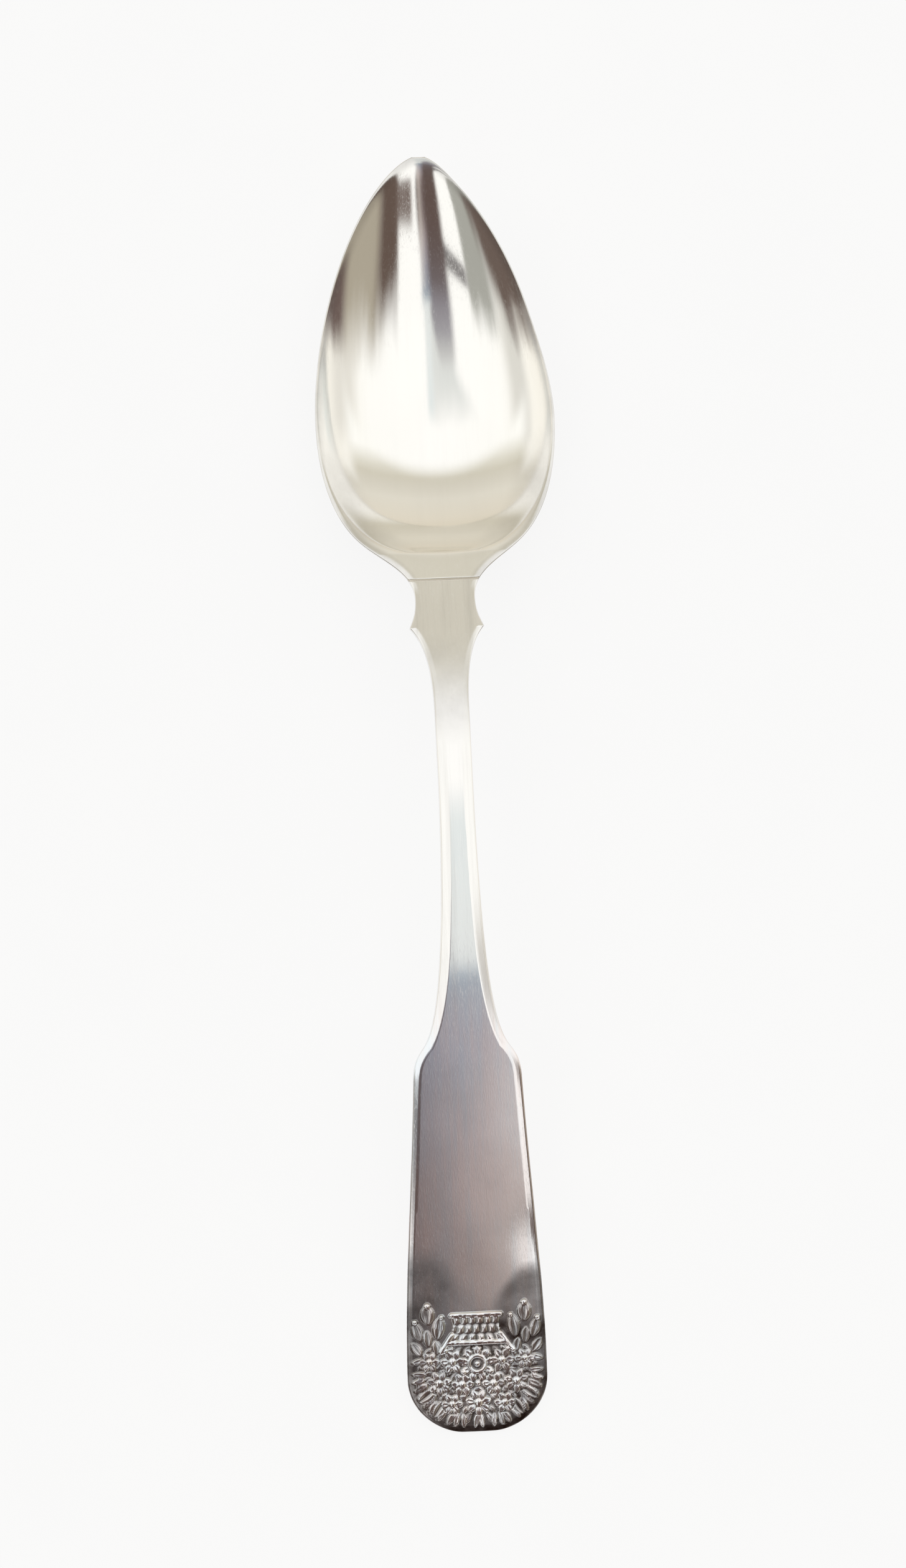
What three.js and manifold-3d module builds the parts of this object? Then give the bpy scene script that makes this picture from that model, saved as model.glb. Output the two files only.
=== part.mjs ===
// Silver tablespoon of the fiddle pattern: a raised bowl soldered onto a forged handle.
// Millimetres. The spoon lies face up on a table at z = 0 with its tip towards +Y,
// and the origin is on the table under the middle of its length.
import * as THREE from 'three';
import { mergeVertices } from 'three/addons/utils/BufferGeometryUtils.js';
import Module from 'manifold-3d';

const wasm = await Module();
wasm.setup();

// Lengths along the spoon
const FIDDLE_LENGTH = 61;
const STEM_LENGTH = 77.8;
const NECK_LENGTH = 8.6;
const BOWL_LENGTH = 74.6;
const HEEL_LENGTH = 5;
const END_ROUND_LENGTH = 9.5;
const SHOULDER_LENGTH = 5.2;
const SWEEP_LENGTH = 46;
const FIN_FLARE_LENGTH = 14.8;
const FIN_BACK_LENGTH = 5.2;
const FILLET_LENGTH = 11;
const EGG_FROM_SEAM = 2.8;

// Widths across the spoon
const END_FLAT_WIDTH = 5.2;
const FIDDLE_WIDTH = 24.3;
const SHOULDER_WIDTH = 18.8;
const SHOULDER_FOOT_WIDTH = 15.3;
const STEM_WIDTH = 6;
const FIN_WIDTH = 12.9;
const NECK_WIDTH = 10.4;
const BOWL_WIDTH = 41.8;
const RIM_WIDTH = 0.5;

// Heights of the front face above the table
const SHOULDER_HEIGHT = 17.6;
const ARCH_HEIGHT = 24.4;
const STEM_HEIGHT = 22.4;
const SEAM_HEIGHT = 15.6;
const HEEL_RIM_HEIGHT = 11.8;
const RIM_HEIGHT = 10.3;
const TIP_HEIGHT = 11.8;

// Where those heights are taken, from the next landmark along the spoon
const ARCH_FROM_SHOULDER = 40;
const STEM_FROM_FIN = 13.8;
const HEEL_RIM_FROM_SEAM = 14.6;
const RIM_FROM_TIP = 36;

// Shape of the bowl: powers that make its egg outline blunt at the heel and pointed at the
// tip, fullness of the hollow at both ends against its middle, how much steeper its sides
// are than a parabola, and its deepest place
const HEEL_POWER = 0.7;
const TIP_POWER = 1.26;
const TIP_WEAR = 0.3;
const HEEL_FULLNESS = 1.2;
const TIP_FULLNESS = 1.3;
const SIDE_STEEPNESS = 0.25;
const DEEPEST_FROM_HEEL = 27;

// Thicknesses
const END_THICKNESS = 1.5;
const STEM_THICKNESS = 2.8;
const NECK_THICKNESS = 2.75;
const NECK_EDGE_THICKNESS = 1.2;
const BOWL_WALL = 1.1;
const RIM_THICKNESS = 0.55;
const REST_FLAT_DEPTH = 0.15;

// Rounding of the front and back edges: width across the face and drop below it
const FIDDLE_ROUND_WIDTH = 1;
const FIDDLE_ROUND_DROP = 0.5;
const STEM_ROUND_WIDTH = 1.7;
const STEM_ROUND_DROP = 1;
const NECK_ROUND_WIDTH = 0.7;
const NECK_ROUND_DROP = 0.4;
const BACK_ROUND_DROP = 0.35;

// Soldered lap joint: the handle's tongue lies under the heel of the bowl
const TONGUE_LENGTH = 18;
const TONGUE_WIDTH = 10;
const TONGUE_ROOT = 2;
const TONGUE_EDGE = 0.3;
const TONGUE_CROWN = 1;
const TONGUE_ROOT_INSET = 0.04;
const JOINT_GAP = 0.3;
const SOLDER_CLEARANCE = 0.05;

// Struck ornament: a basket of flowers, its foot towards the bowl
const FOOT_STATION = 20.3;
const FOOT_WIDTH = 9.2;
const BASKET_RIM_STATION = 15.5;
const BASKET_RIM_WIDTH = 12;
const STAVE_COUNT = 7;
const BAR_RADIUS = 0.45;
const RELIEF_HEIGHT = 0.5;
const PETAL_HEIGHT = 0.4;
const RELIEF_SINK = 0.3;
const BOUQUET_STATION = 11.6;
const LEAF_FAN_RADIUS = 7.2;
const LEAF_COUNT = 9;
const LEAF_HALF_LENGTH = 1.7;
const LEAF_HALF_WIDTH = 0.75;
const SPRIG_OUT = 8.6;
const SPRIG_REACH = 21.4;

const FLOWERS = [
  { across: 0, along: 12.2, heart: 0.95, ring: 1.55, petals: 8 },
  { across: 4.4, along: 12.5, heart: 0.7, ring: 1.15, petals: 6 },
  { across: 2.5, along: 8.7, heart: 0.65, ring: 1.1, petals: 6 },
  { across: 6.8, along: 9.3, heart: 0.6, ring: 1, petals: 6 },
  { across: 0, along: 5.6, heart: 0.6, ring: 1, petals: 6 },
];

// Landmarks, as stations measured from the handle's end
const SHOULDER = FIDDLE_LENGTH;
const FIN = SHOULDER + STEM_LENGTH;
const SEAM = FIN + NECK_LENGTH;
const TIP = SEAM + BOWL_LENGTH;
const WAIST = FIN + FIN_BACK_LENGTH;
const HOLLOW = SEAM + HEEL_LENGTH;
const HOLLOW_LENGTH = BOWL_LENGTH - HEEL_LENGTH - RIM_WIDTH;
const DEEPEST = HOLLOW + DEEPEST_FROM_HEEL;
const TONGUE_END = SEAM + TONGUE_LENGTH;

const toY = (station) => station - TIP / 2;
const mix = (a, b, t) => a + (b - a) * t;

function smoothStep(from, to, value) {
  const t = THREE.MathUtils.clamp((value - from) / (to - from), 0, 1);
  return t * t * (3 - 2 * t);
}

// Value along the handle, easing from the fiddle to the stem and on to the neck
function alongHandle(station, fiddle, stem, neck) {
  const toStem = smoothStep(SHOULDER - 6, SHOULDER + 22, station);
  const toNeck = smoothStep(FIN - 14, FIN, station);
  return mix(mix(fiddle, stem, toStem), neck, toNeck);
}

// Natural cubic spline through [station, height] points
function naturalSpline(points) {
  const last = points.length - 1;
  const bend = new Array(last + 1).fill(0);
  const carry = new Array(last + 1).fill(0);
  for (let i = 1; i < last; i++) {
    const [before, here, after] = [points[i - 1], points[i], points[i + 1]];
    const left = here[0] - before[0];
    const right = after[0] - here[0];
    const turn = (after[1] - here[1]) / right - (here[1] - before[1]) / left;
    const pivot = 2 * (left + right) - left * carry[i - 1];
    carry[i] = right / pivot;
    bend[i] = (6 * turn - left * bend[i - 1]) / pivot;
  }
  for (let i = last - 1; i > 0; i--) bend[i] -= carry[i] * bend[i + 1];
  return (station) => {
    let i = 0;
    while (i < last - 1 && station > points[i + 1][0]) i++;
    const span = points[i + 1][0] - points[i][0];
    const b = (station - points[i][0]) / span;
    const a = 1 - b;
    const sag = ((a ** 3 - a) * bend[i] + (b ** 3 - b) * bend[i + 1]) * span * span / 6;
    return a * points[i][1] + b * points[i + 1][1] + sag;
  };
}

// Height of the front face along the middle of the spoon, without the hollow
const frontLine = naturalSpline([
  [0, END_THICKNESS - REST_FLAT_DEPTH],
  [SHOULDER, SHOULDER_HEIGHT],
  [SHOULDER + ARCH_FROM_SHOULDER, ARCH_HEIGHT],
  [FIN - STEM_FROM_FIN, STEM_HEIGHT],
  [SEAM, SEAM_HEIGHT],
  [SEAM + HEEL_RIM_FROM_SEAM, HEEL_RIM_HEIGHT],
  [TIP - RIM_FROM_TIP, RIM_HEIGHT],
  [TIP, TIP_HEIGHT],
]);

function frontSlope(station) {
  const step = 0.05;
  return (frontLine(station + step) - frontLine(station - step)) / (2 * step);
}

// Egg outline: half width squared at a station, for an egg from start over length
function eggShape(x) {
  const blunt = Math.sign(x) * Math.abs(x) ** HEEL_POWER;
  return blunt * Math.max(0, 1 - x) ** TIP_POWER;
}

const eggPeak = eggShape(HEEL_POWER / (HEEL_POWER + TIP_POWER));

function eggSquared(station, start, length, halfWidth) {
  return halfWidth ** 2 * eggShape((station - start) / length) / eggPeak;
}

function bowlHalfWidth(station) {
  const start = SEAM + EGG_FROM_SEAM;
  return Math.sqrt(eggSquared(station, start, TIP + TIP_WEAR - start, BOWL_WIDTH / 2));
}

// Depth of the hollow below the rim: above zero inside its outline and below zero outside
const hollowHalfWidth = BOWL_WIDTH / 2 - RIM_WIDTH;
const deepestShare = DEEPEST_FROM_HEEL / HOLLOW_LENGTH;
const middleDepth = frontLine(DEEPEST) + REST_FLAT_DEPTH - BOWL_WALL;

function keelFullness(x) {
  const square = ((1 - HEEL_FULLNESS) / deepestShare - (TIP_FULLNESS - HEEL_FULLNESS)) / (deepestShare - 1);
  return HEEL_FULLNESS + (TIP_FULLNESS - HEEL_FULLNESS - square) * x + square * x * x;
}

function hollowDepth(across, station) {
  const x = (station - HOLLOW) / HOLLOW_LENGTH;
  const inside = eggSquared(station, HOLLOW, HOLLOW_LENGTH, hollowHalfWidth) - across ** 2;
  const middle = eggSquared(DEEPEST, HOLLOW, HOLLOW_LENGTH, hollowHalfWidth);
  const side = 1 + SIDE_STEEPNESS * (across / hollowHalfWidth) ** 2;
  return middleDepth * keelFullness(x) * inside / middle * side;
}

// Half outline of the handle and the fillets at the heel, as [station, half width]
function handleOutline() {
  const filletEnd = WAIST + FILLET_LENGTH;
  const filletHalf = bowlHalfWidth(filletEnd);
  const step = 0.1;
  const filletSlope = (bowlHalfWidth(filletEnd + step) - filletHalf) / step;
  const filletPull = FILLET_LENGTH * 0.345;
  const shoulderEnd = SHOULDER + SHOULDER_LENGTH;
  const sweepEnd = shoulderEnd + SWEEP_LENGTH;
  const flareStart = FIN - FIN_FLARE_LENGTH;
  const path = new THREE.Path();
  path.moveTo(0, END_FLAT_WIDTH / 2);
  path.bezierCurveTo(
    0, mix(END_FLAT_WIDTH, FIDDLE_WIDTH, 0.42) / 2,
    END_ROUND_LENGTH * 0.38, FIDDLE_WIDTH / 2,
    END_ROUND_LENGTH, FIDDLE_WIDTH / 2,
  );
  path.bezierCurveTo(
    mix(END_ROUND_LENGTH, SHOULDER, 0.33), FIDDLE_WIDTH / 2,
    mix(END_ROUND_LENGTH, SHOULDER, 0.67), mix(FIDDLE_WIDTH, SHOULDER_WIDTH, 0.72) / 2,
    SHOULDER, SHOULDER_WIDTH / 2,
  );
  path.bezierCurveTo(
    SHOULDER + SHOULDER_LENGTH * 0.55, SHOULDER_WIDTH / 2 - 0.15,
    SHOULDER + SHOULDER_LENGTH * 0.72, mix(SHOULDER_WIDTH, SHOULDER_FOOT_WIDTH, 0.45) / 2,
    shoulderEnd, SHOULDER_FOOT_WIDTH / 2,
  );
  path.bezierCurveTo(
    shoulderEnd + SWEEP_LENGTH * 0.065, mix(SHOULDER_FOOT_WIDTH, STEM_WIDTH, 0.58) / 2,
    shoulderEnd + SWEEP_LENGTH * 0.32, mix(SHOULDER_FOOT_WIDTH, STEM_WIDTH, 0.98) / 2,
    sweepEnd, STEM_WIDTH / 2,
  );
  path.lineTo(flareStart, STEM_WIDTH / 2);
  path.bezierCurveTo(
    FIN - FIN_FLARE_LENGTH * 0.38, STEM_WIDTH / 2,
    FIN - FIN_FLARE_LENGTH * 0.14, mix(STEM_WIDTH, FIN_WIDTH, 0.47) / 2,
    FIN, FIN_WIDTH / 2,
  );
  path.bezierCurveTo(
    FIN + FIN_BACK_LENGTH * 0.3, mix(NECK_WIDTH, FIN_WIDTH, 0.5) / 2,
    FIN + FIN_BACK_LENGTH * 0.5, NECK_WIDTH / 2,
    WAIST, NECK_WIDTH / 2,
  );
  path.bezierCurveTo(
    WAIST + FILLET_LENGTH * 0.47, NECK_WIDTH / 2,
    filletEnd - filletPull, filletHalf - filletPull * filletSlope,
    filletEnd, filletHalf,
  );
  return path;
}

const outlineCurves = handleOutline().curves;
const outlinePoints = outlineCurves.flatMap((curve) => curve.getPoints(24).slice(0, -1));
const filletEndStation = WAIST + FILLET_LENGTH;

function halfWidth(station) {
  if (station >= filletEndStation) return bowlHalfWidth(Math.min(station, TIP));
  let i = 0;
  while (i < outlinePoints.length - 2 && station > outlinePoints[i + 1].x) i++;
  const [from, to] = [outlinePoints[i], outlinePoints[i + 1]];
  return mix(from.y, to.y, (station - from.x) / (to.x - from.x));
}

// Drop of a rounded edge at a distance in from the outline
function roundDrop(distance, width, drop) {
  const t = THREE.MathUtils.clamp(1 - distance / width, 0, 1);
  return drop * (1 - Math.sqrt(1 - t * t));
}

function edgeDistance(across, station) {
  const step = 0.1;
  const slope = (halfWidth(station + step) - halfWidth(station)) / step;
  const sideways = (halfWidth(station) - Math.abs(across)) / Math.hypot(1, slope);
  return Math.max(0, Math.min(sideways, station));
}

// Faces of the handle
function handleFront(across, station) {
  const width = alongHandle(station, FIDDLE_ROUND_WIDTH, STEM_ROUND_WIDTH, NECK_ROUND_WIDTH);
  const drop = alongHandle(station, FIDDLE_ROUND_DROP, STEM_ROUND_DROP, NECK_ROUND_DROP);
  return frontLine(station) - roundDrop(edgeDistance(across, station), width, drop);
}

function handleBack(across, station) {
  const width = alongHandle(station, FIDDLE_ROUND_WIDTH, STEM_ROUND_WIDTH, NECK_ROUND_WIDTH);
  const flat = alongHandle(station, END_THICKNESS, STEM_THICKNESS, NECK_THICKNESS);
  const rounded = flat - roundDrop(edgeDistance(across, station), width, BACK_ROUND_DROP);
  const share = Math.min(1, (across / halfWidth(station)) ** 2);
  const keeled = mix(NECK_THICKNESS, NECK_EDGE_THICKNESS, share);
  const thickness = mix(rounded, keeled, smoothStep(FIN - 10, SEAM, station));
  return Math.max(0, frontLine(station) - thickness);
}

// Faces of the bowl. Its underside at the heel is what the tongue follows.
function bowlFront(across, station) {
  return frontLine(station) - Math.max(0, hollowDepth(across, station));
}

function bowlUnderside(across, station) {
  return bowlFront(across, station) - BOWL_WALL;
}

function bowlRimBack(station) {
  const thin = smoothStep(HOLLOW, HOLLOW + 10, station);
  return frontLine(station) - mix(BOWL_WALL, RIM_THICKNESS, thin);
}

// Tongue under the heel
function tongueHalfWidth(station) {
  const along = THREE.MathUtils.clamp((station - SEAM) / TONGUE_LENGTH, 0, 1);
  return TONGUE_WIDTH / 2 * Math.sqrt(1 - 0.98 * along ** 3);
}

function tongueTop(across, station) {
  return bowlUnderside(across, station) - JOINT_GAP;
}

function tongueBottom(across, station) {
  const half = tongueHalfWidth(station);
  const along = THREE.MathUtils.clamp((station - SEAM) / TONGUE_LENGTH, 0, 1);
  const crown = TONGUE_CROWN * (1 - 0.6 * along) * (1 - (across / half) ** 2);
  const hanging = tongueTop(across, station) - TONGUE_EDGE - crown;
  const inNeck = handleBack(across, Math.min(station, SEAM)) + TONGUE_ROOT_INSET;
  return mix(inNeck, hanging, smoothStep(SEAM, SEAM + 6, station));
}

// Plan of rows of [across, station] points, all rows equally long, joined into triangles
function gridPlan(rows) {
  const columns = rows[0].length;
  const points = rows.flat();
  const at = (row, column) => row * columns + column;
  const triangles = [];
  for (let r = 0; r < rows.length - 1; r++) {
    for (let c = 0; c < columns - 1; c++) {
      const corner = [at(r, c), at(r, c + 1), at(r + 1, c + 1), at(r + 1, c)];
      triangles.push([corner[0], corner[1], corner[2]], [corner[0], corner[2], corner[3]]);
    }
  }
  const boundary = [];
  for (let c = 0; c < columns - 1; c++) boundary.push(at(0, c));
  for (let r = 0; r < rows.length - 1; r++) boundary.push(at(r, columns - 1));
  for (let c = columns - 1; c > 0; c--) boundary.push(at(rows.length - 1, c));
  for (let r = rows.length - 1; r > 0; r--) boundary.push(at(r, 0));
  return { points, triangles, boundary };
}

// Plan of rings round a middle point, each ring running anticlockwise
function ringPlan(middle, rings) {
  const count = rings[0].length;
  const points = [middle, ...rings.flat()];
  const at = (ring, i) => 1 + ring * count + (i % count);
  const triangles = [];
  for (let i = 0; i < count; i++) {
    triangles.push([0, at(0, i), at(0, i + 1)]);
    for (let r = 0; r < rings.length - 1; r++) {
      triangles.push([at(r, i), at(r + 1, i), at(r + 1, i + 1)]);
      triangles.push([at(r, i), at(r + 1, i + 1), at(r, i + 1)]);
    }
  }
  const boundary = rings[0].map((_, i) => at(rings.length - 1, i));
  return { points, triangles, boundary };
}

// Closed plate over a plan, between the heights of its front and back at each plan point
function plate(plan, front, back) {
  const count = plan.points.length;
  const positions = [];
  for (const height of [front, back]) {
    plan.points.forEach(([across, station], i) => {
      positions.push(across, toY(station), height(across, station, i));
    });
  }
  const index = [];
  for (const [a, b, c] of plan.triangles) index.push(a, b, c, count + a, count + c, count + b);
  plan.boundary.forEach((a, i) => {
    const b = plan.boundary[(i + 1) % plan.boundary.length];
    index.push(a, count + a, count + b, a, count + b, b);
  });
  const geometry = new THREE.BufferGeometry();
  geometry.setAttribute('position', new THREE.Float32BufferAttribute(positions, 3));
  geometry.setIndex(index);
  return geometry;
}

function toSolid(geometry) {
  const bare = new THREE.BufferGeometry();
  bare.setAttribute('position', geometry.getAttribute('position'));
  bare.setIndex(geometry.getIndex());
  const merged = mergeVertices(bare, 1e-4);
  return new wasm.Manifold(new wasm.Mesh({
    numProp: 3,
    vertProperties: new Float32Array(merged.attributes.position.array),
    triVerts: new Uint32Array(merged.index.array),
  }));
}

function fromSolid(solid) {
  const mesh = solid.getMesh();
  const geometry = new THREE.BufferGeometry();
  geometry.setAttribute('position', new THREE.BufferAttribute(mesh.vertProperties, 3));
  geometry.setIndex(new THREE.BufferAttribute(mesh.triVerts, 1));
  return geometry;
}

// One row of plan points across the handle, with points at the foot of the rounded edges
function handleRow(station) {
  const half = halfWidth(station);
  const round = alongHandle(station, FIDDLE_ROUND_WIDTH, STEM_ROUND_WIDTH, NECK_ROUND_WIDTH);
  const flat = Math.max(half - round, half * 0.4);
  const shares = [1, 0.75, 0.35, 0];
  const rounded = shares.map((share) => mix(flat, half, share));
  const inner = [0.55, 0].map((share) => flat * share);
  const right = [...rounded, ...inner];
  const left = right.slice(0, -1).map((across) => -across);
  return [...left, ...right.reverse()].map((across) => [across, station]);
}

function handleStations() {
  const counts = [10, 12, 6, 12, 3, 8, 5];
  const along = counts.flatMap((count, i) => (
    outlineCurves[i].getPoints(count).slice(0, -1).map((point) => point.x)
  ));
  const neckEnd = SEAM - JOINT_GAP / 2;
  return [...along, WAIST, mix(WAIST, neckEnd, 0.35), mix(WAIST, neckEnd, 0.7), neckEnd];
}

function handleBlank() {
  return toSolid(plate(gridPlan(handleStations().map(handleRow)), handleFront, handleBack));
}

// Plan of the tongue or of the solder on it, from a station to the tongue's end
function tonguePlan(from, inset) {
  const rowCount = 12;
  const shares = [-1, -0.75, -0.4, 0, 0.4, 0.75, 1];
  const stations = [from];
  for (let r = 0; r <= rowCount; r++) {
    const along = 1 - (1 - r / rowCount) ** 1.3;
    stations.push(Math.min(SEAM + TONGUE_LENGTH * along, TONGUE_END - inset));
  }
  return gridPlan(stations.map((station) => {
    const half = tongueHalfWidth(station) - inset;
    return shares.map((share) => [share * half, station]);
  }));
}

function tongue() {
  return toSolid(plate(tonguePlan(SEAM - TONGUE_ROOT, 0), tongueTop, tongueBottom));
}

// Half-buried bead of the ornament, stretched across and along the handle and turned
function bead(across, station, halfAcross, halfAlong, height, turn = 0) {
  const geometry = new THREE.SphereGeometry(1, 8, 6);
  geometry.rotateX(Math.PI / 2);
  geometry.scale(halfAcross, halfAlong, height + RELIEF_SINK);
  geometry.rotateZ(turn);
  geometry.rotateX(Math.atan(frontSlope(station)));
  geometry.translate(across, toY(station), handleFront(across, station) - RELIEF_SINK);
  return toSolid(geometry);
}

function flower({ across, along, heart, ring, petals }) {
  const parts = [bead(across, along, heart, heart, RELIEF_HEIGHT)];
  for (let i = 0; i < petals; i++) {
    const angle = (i + 0.5) * 2 * Math.PI / petals;
    const petalAcross = across + ring * Math.sin(angle);
    const petalAlong = along + ring * Math.cos(angle);
    parts.push(bead(petalAcross, petalAlong, heart * 0.75, heart * 0.95, PETAL_HEIGHT, -angle));
  }
  return parts;
}

function basket() {
  const parts = [
    bead(0, FOOT_STATION, FOOT_WIDTH / 2, BAR_RADIUS, RELIEF_HEIGHT),
    bead(0, BASKET_RIM_STATION, BASKET_RIM_WIDTH / 2, BAR_RADIUS, RELIEF_HEIGHT),
  ];
  const middle = (FOOT_STATION + BASKET_RIM_STATION) / 2;
  const reach = (FOOT_STATION - BASKET_RIM_STATION) / 2;
  const spread = (FOOT_WIDTH + BASKET_RIM_WIDTH) / 4;
  const lean = (BASKET_RIM_WIDTH - FOOT_WIDTH) / 2 / (2 * reach);
  for (let i = 0; i < STAVE_COUNT; i++) {
    const share = (2 * i) / (STAVE_COUNT - 1) - 1;
    const across = share * spread * 0.82;
    parts.push(bead(across, middle, spread / STAVE_COUNT * 0.95, reach, PETAL_HEIGHT, share * lean));
  }
  return parts;
}

function leafFan() {
  const parts = [];
  for (let i = 0; i < LEAF_COUNT; i++) {
    const angle = ((2 * i) / (LEAF_COUNT - 1) - 1) * 1.75;
    const across = LEAF_FAN_RADIUS * 1.12 * Math.sin(angle);
    const along = BOUQUET_STATION - LEAF_FAN_RADIUS * Math.cos(angle);
    parts.push(bead(across, along, LEAF_HALF_WIDTH, LEAF_HALF_LENGTH, PETAL_HEIGHT, angle));
  }
  return parts;
}

function sprig(side) {
  const parts = [bead(side * SPRIG_OUT, SPRIG_REACH, 0.6, 0.6, PETAL_HEIGHT)];
  const leaves = 3;
  for (let i = 0; i < leaves; i++) {
    const along = mix(BASKET_RIM_STATION + 0.4, SPRIG_REACH - 1.3, i / (leaves - 1));
    const stem = mix(BASKET_RIM_WIDTH / 2 + 1.7, SPRIG_OUT, i / (leaves - 1));
    for (const lean of [-1, 1]) {
      const across = side * stem + lean * 0.85;
      parts.push(bead(across, along, 0.55, 1.05, PETAL_HEIGHT, -lean * 0.6));
    }
  }
  return parts;
}

function ornament() {
  const both = FLOWERS.flatMap((one) => (
    one.across === 0 ? [one] : [one, { ...one, across: -one.across }]
  ));
  return [...basket(), ...both.flatMap(flower), ...leafFan(), ...sprig(-1), ...sprig(1)];
}

function handleGeometry() {
  return fromSolid(wasm.Manifold.union([handleBlank(), tongue(), ...ornament()]));
}

// Outline of the bowl, anticlockwise from its left corner at the seam
function bowlOutline() {
  const start = SEAM + JOINT_GAP / 2;
  const sideCount = 30;
  const side = [];
  for (let i = 0; i <= sideCount; i++) {
    const swing = (1 - Math.cos(Math.PI * i / sideCount)) / 2;
    const station = mix(start, TIP, swing);
    side.push([halfWidth(station), station]);
  }
  const left = side.map(([half, station]) => [-half, station]).reverse();
  const corner = side[0][0];
  const seam = [-0.5, 0, 0.5].map((share) => [share * corner, start]);
  return [...seam, ...side, ...left];
}

// Share of the way from the deepest place to an outline point where the hollow ends
function hollowEdgeShare([across, station]) {
  let inside = 0;
  let outside = 1;
  for (let i = 0; i < 40; i++) {
    const middle = (inside + outside) / 2;
    const depth = hollowDepth(across * middle, mix(DEEPEST, station, middle));
    if (depth > 0) inside = middle;
    else outside = middle;
  }
  return inside;
}

function bowlGeometry() {
  const outline = bowlOutline();
  const edges = outline.map(hollowEdgeShare);
  const ringCount = 9;
  const rings = [];
  const ringAt = (shareOf) => outline.map((point, i) => {
    const share = shareOf(edges[i]);
    return [point[0] * share, mix(DEEPEST, point[1], share)];
  });
  for (let r = 1; r <= ringCount; r++) rings.push(ringAt((edge) => edge * r / ringCount));
  rings.push(outline);
  const plan = ringPlan([0, DEEPEST], rings);
  const firstOutside = 1 + ringCount * outline.length;
  const front = (across, station, i) => (
    i >= firstOutside ? frontLine(station) : bowlFront(across, station)
  );
  const back = (across, station, i) => (
    Math.max(0, i >= firstOutside ? bowlRimBack(station) : bowlUnderside(across, station))
  );
  return plate(plan, front, back);
}

// Solder: a film on the tongue and a strip that shows as a line across the neck
function solderFilm() {
  const top = (across, station) => bowlUnderside(across, station) - SOLDER_CLEARANCE;
  const bottom = (across, station) => tongueTop(across, station) + SOLDER_CLEARANCE;
  const from = SEAM - JOINT_GAP / 2 + SOLDER_CLEARANCE;
  return toSolid(plate(tonguePlan(from, SOLDER_CLEARANCE), top, bottom));
}

function solderStrip() {
  const from = SEAM - JOINT_GAP / 2 + SOLDER_CLEARANCE;
  const to = SEAM + JOINT_GAP / 2 - SOLDER_CLEARANCE;
  const half = halfWidth(from) - NECK_ROUND_WIDTH;
  const rows = [from, to].map((station) => [-half, 0, half].map((across) => [across, station]));
  const bottom = (across, station) => frontLine(station) - BOWL_WALL - JOINT_GAP / 2;
  return toSolid(plate(gridPlan(rows), (across, station) => frontLine(station), bottom));
}

function solderGeometry() {
  return fromSolid(wasm.Manifold.union([solderFilm(), solderStrip()]));
}

function namedMesh(name, geometry, color, roughness) {
  const material = new THREE.MeshStandardMaterial({ color, roughness, metalness: 1 });
  geometry.computeVertexNormals();
  const mesh = new THREE.Mesh(geometry, material);
  mesh.name = name;
  return mesh;
}

const spoon = new THREE.Group();
spoon.add(
  namedMesh('bowl', bowlGeometry(), 0xd6d2c8, 0.16),
  namedMesh('handle', handleGeometry(), 0xd2cdc3, 0.2),
  namedMesh('solder_seam', solderGeometry(), 0xb7b2a8, 0.35),
);

export default spoon;
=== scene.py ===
"""Looks of the silver tablespoon: bowl and handle, struck basket of flowers, worn silver, camera and light.

The shapes follow the same formulas and sizes as the CAD part, in millimetres, and are turned into metres
when a piece is made. A station is a distance along the spoon from the handle's end, and across is the
distance from its long middle line.
"""
import math

import bmesh
import bpy
import numpy as np
from mathutils import Matrix, Vector


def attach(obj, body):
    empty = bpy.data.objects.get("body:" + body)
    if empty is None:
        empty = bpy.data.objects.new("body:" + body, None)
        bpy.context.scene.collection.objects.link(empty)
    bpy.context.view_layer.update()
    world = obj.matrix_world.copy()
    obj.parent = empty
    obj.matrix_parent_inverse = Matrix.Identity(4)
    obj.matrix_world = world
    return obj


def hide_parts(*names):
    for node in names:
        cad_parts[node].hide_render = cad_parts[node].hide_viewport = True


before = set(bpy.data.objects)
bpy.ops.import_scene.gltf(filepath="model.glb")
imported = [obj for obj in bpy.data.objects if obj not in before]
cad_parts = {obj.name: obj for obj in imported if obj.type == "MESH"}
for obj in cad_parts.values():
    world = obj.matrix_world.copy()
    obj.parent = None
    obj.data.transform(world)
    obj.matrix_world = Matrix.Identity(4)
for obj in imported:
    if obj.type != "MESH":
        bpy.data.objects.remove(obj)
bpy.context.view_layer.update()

MM = 0.001
TINY = 1e-6

# Lengths along the spoon
FIDDLE_LENGTH = 61.0
STEM_LENGTH = 77.8
NECK_LENGTH = 8.6
BOWL_LENGTH = 74.6
HEEL_LENGTH = 5.0
END_ROUND_LENGTH = 9.5
SHOULDER_LENGTH = 5.2
SWEEP_LENGTH = 46.0
FIN_FLARE_LENGTH = 14.8
FIN_BACK_LENGTH = 5.2
FILLET_LENGTH = 11.0
EGG_FROM_SEAM = 2.8

# Widths across the spoon
END_FLAT_WIDTH = 5.2
FIDDLE_WIDTH = 24.3
SHOULDER_WIDTH = 18.8
SHOULDER_FOOT_WIDTH = 15.3
STEM_WIDTH = 6.0
FIN_WIDTH = 12.9
NECK_WIDTH = 10.4
BOWL_WIDTH = 41.76
RIM_WIDTH = 0.25

# Plan outline: bow of its blunt ends, tuck of the shoulder, pulls of the fillet, and counts of points
END_BOW = 0.03
SHOULDER_TUCK = 0.3
FILLET_PULLS = (0.47, 0.345)
FILLET_COUNT = 48
END_FLAT_COUNT = 8
EGG_COUNT = 240
TIP_FLAT_COUNT = 6

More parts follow.
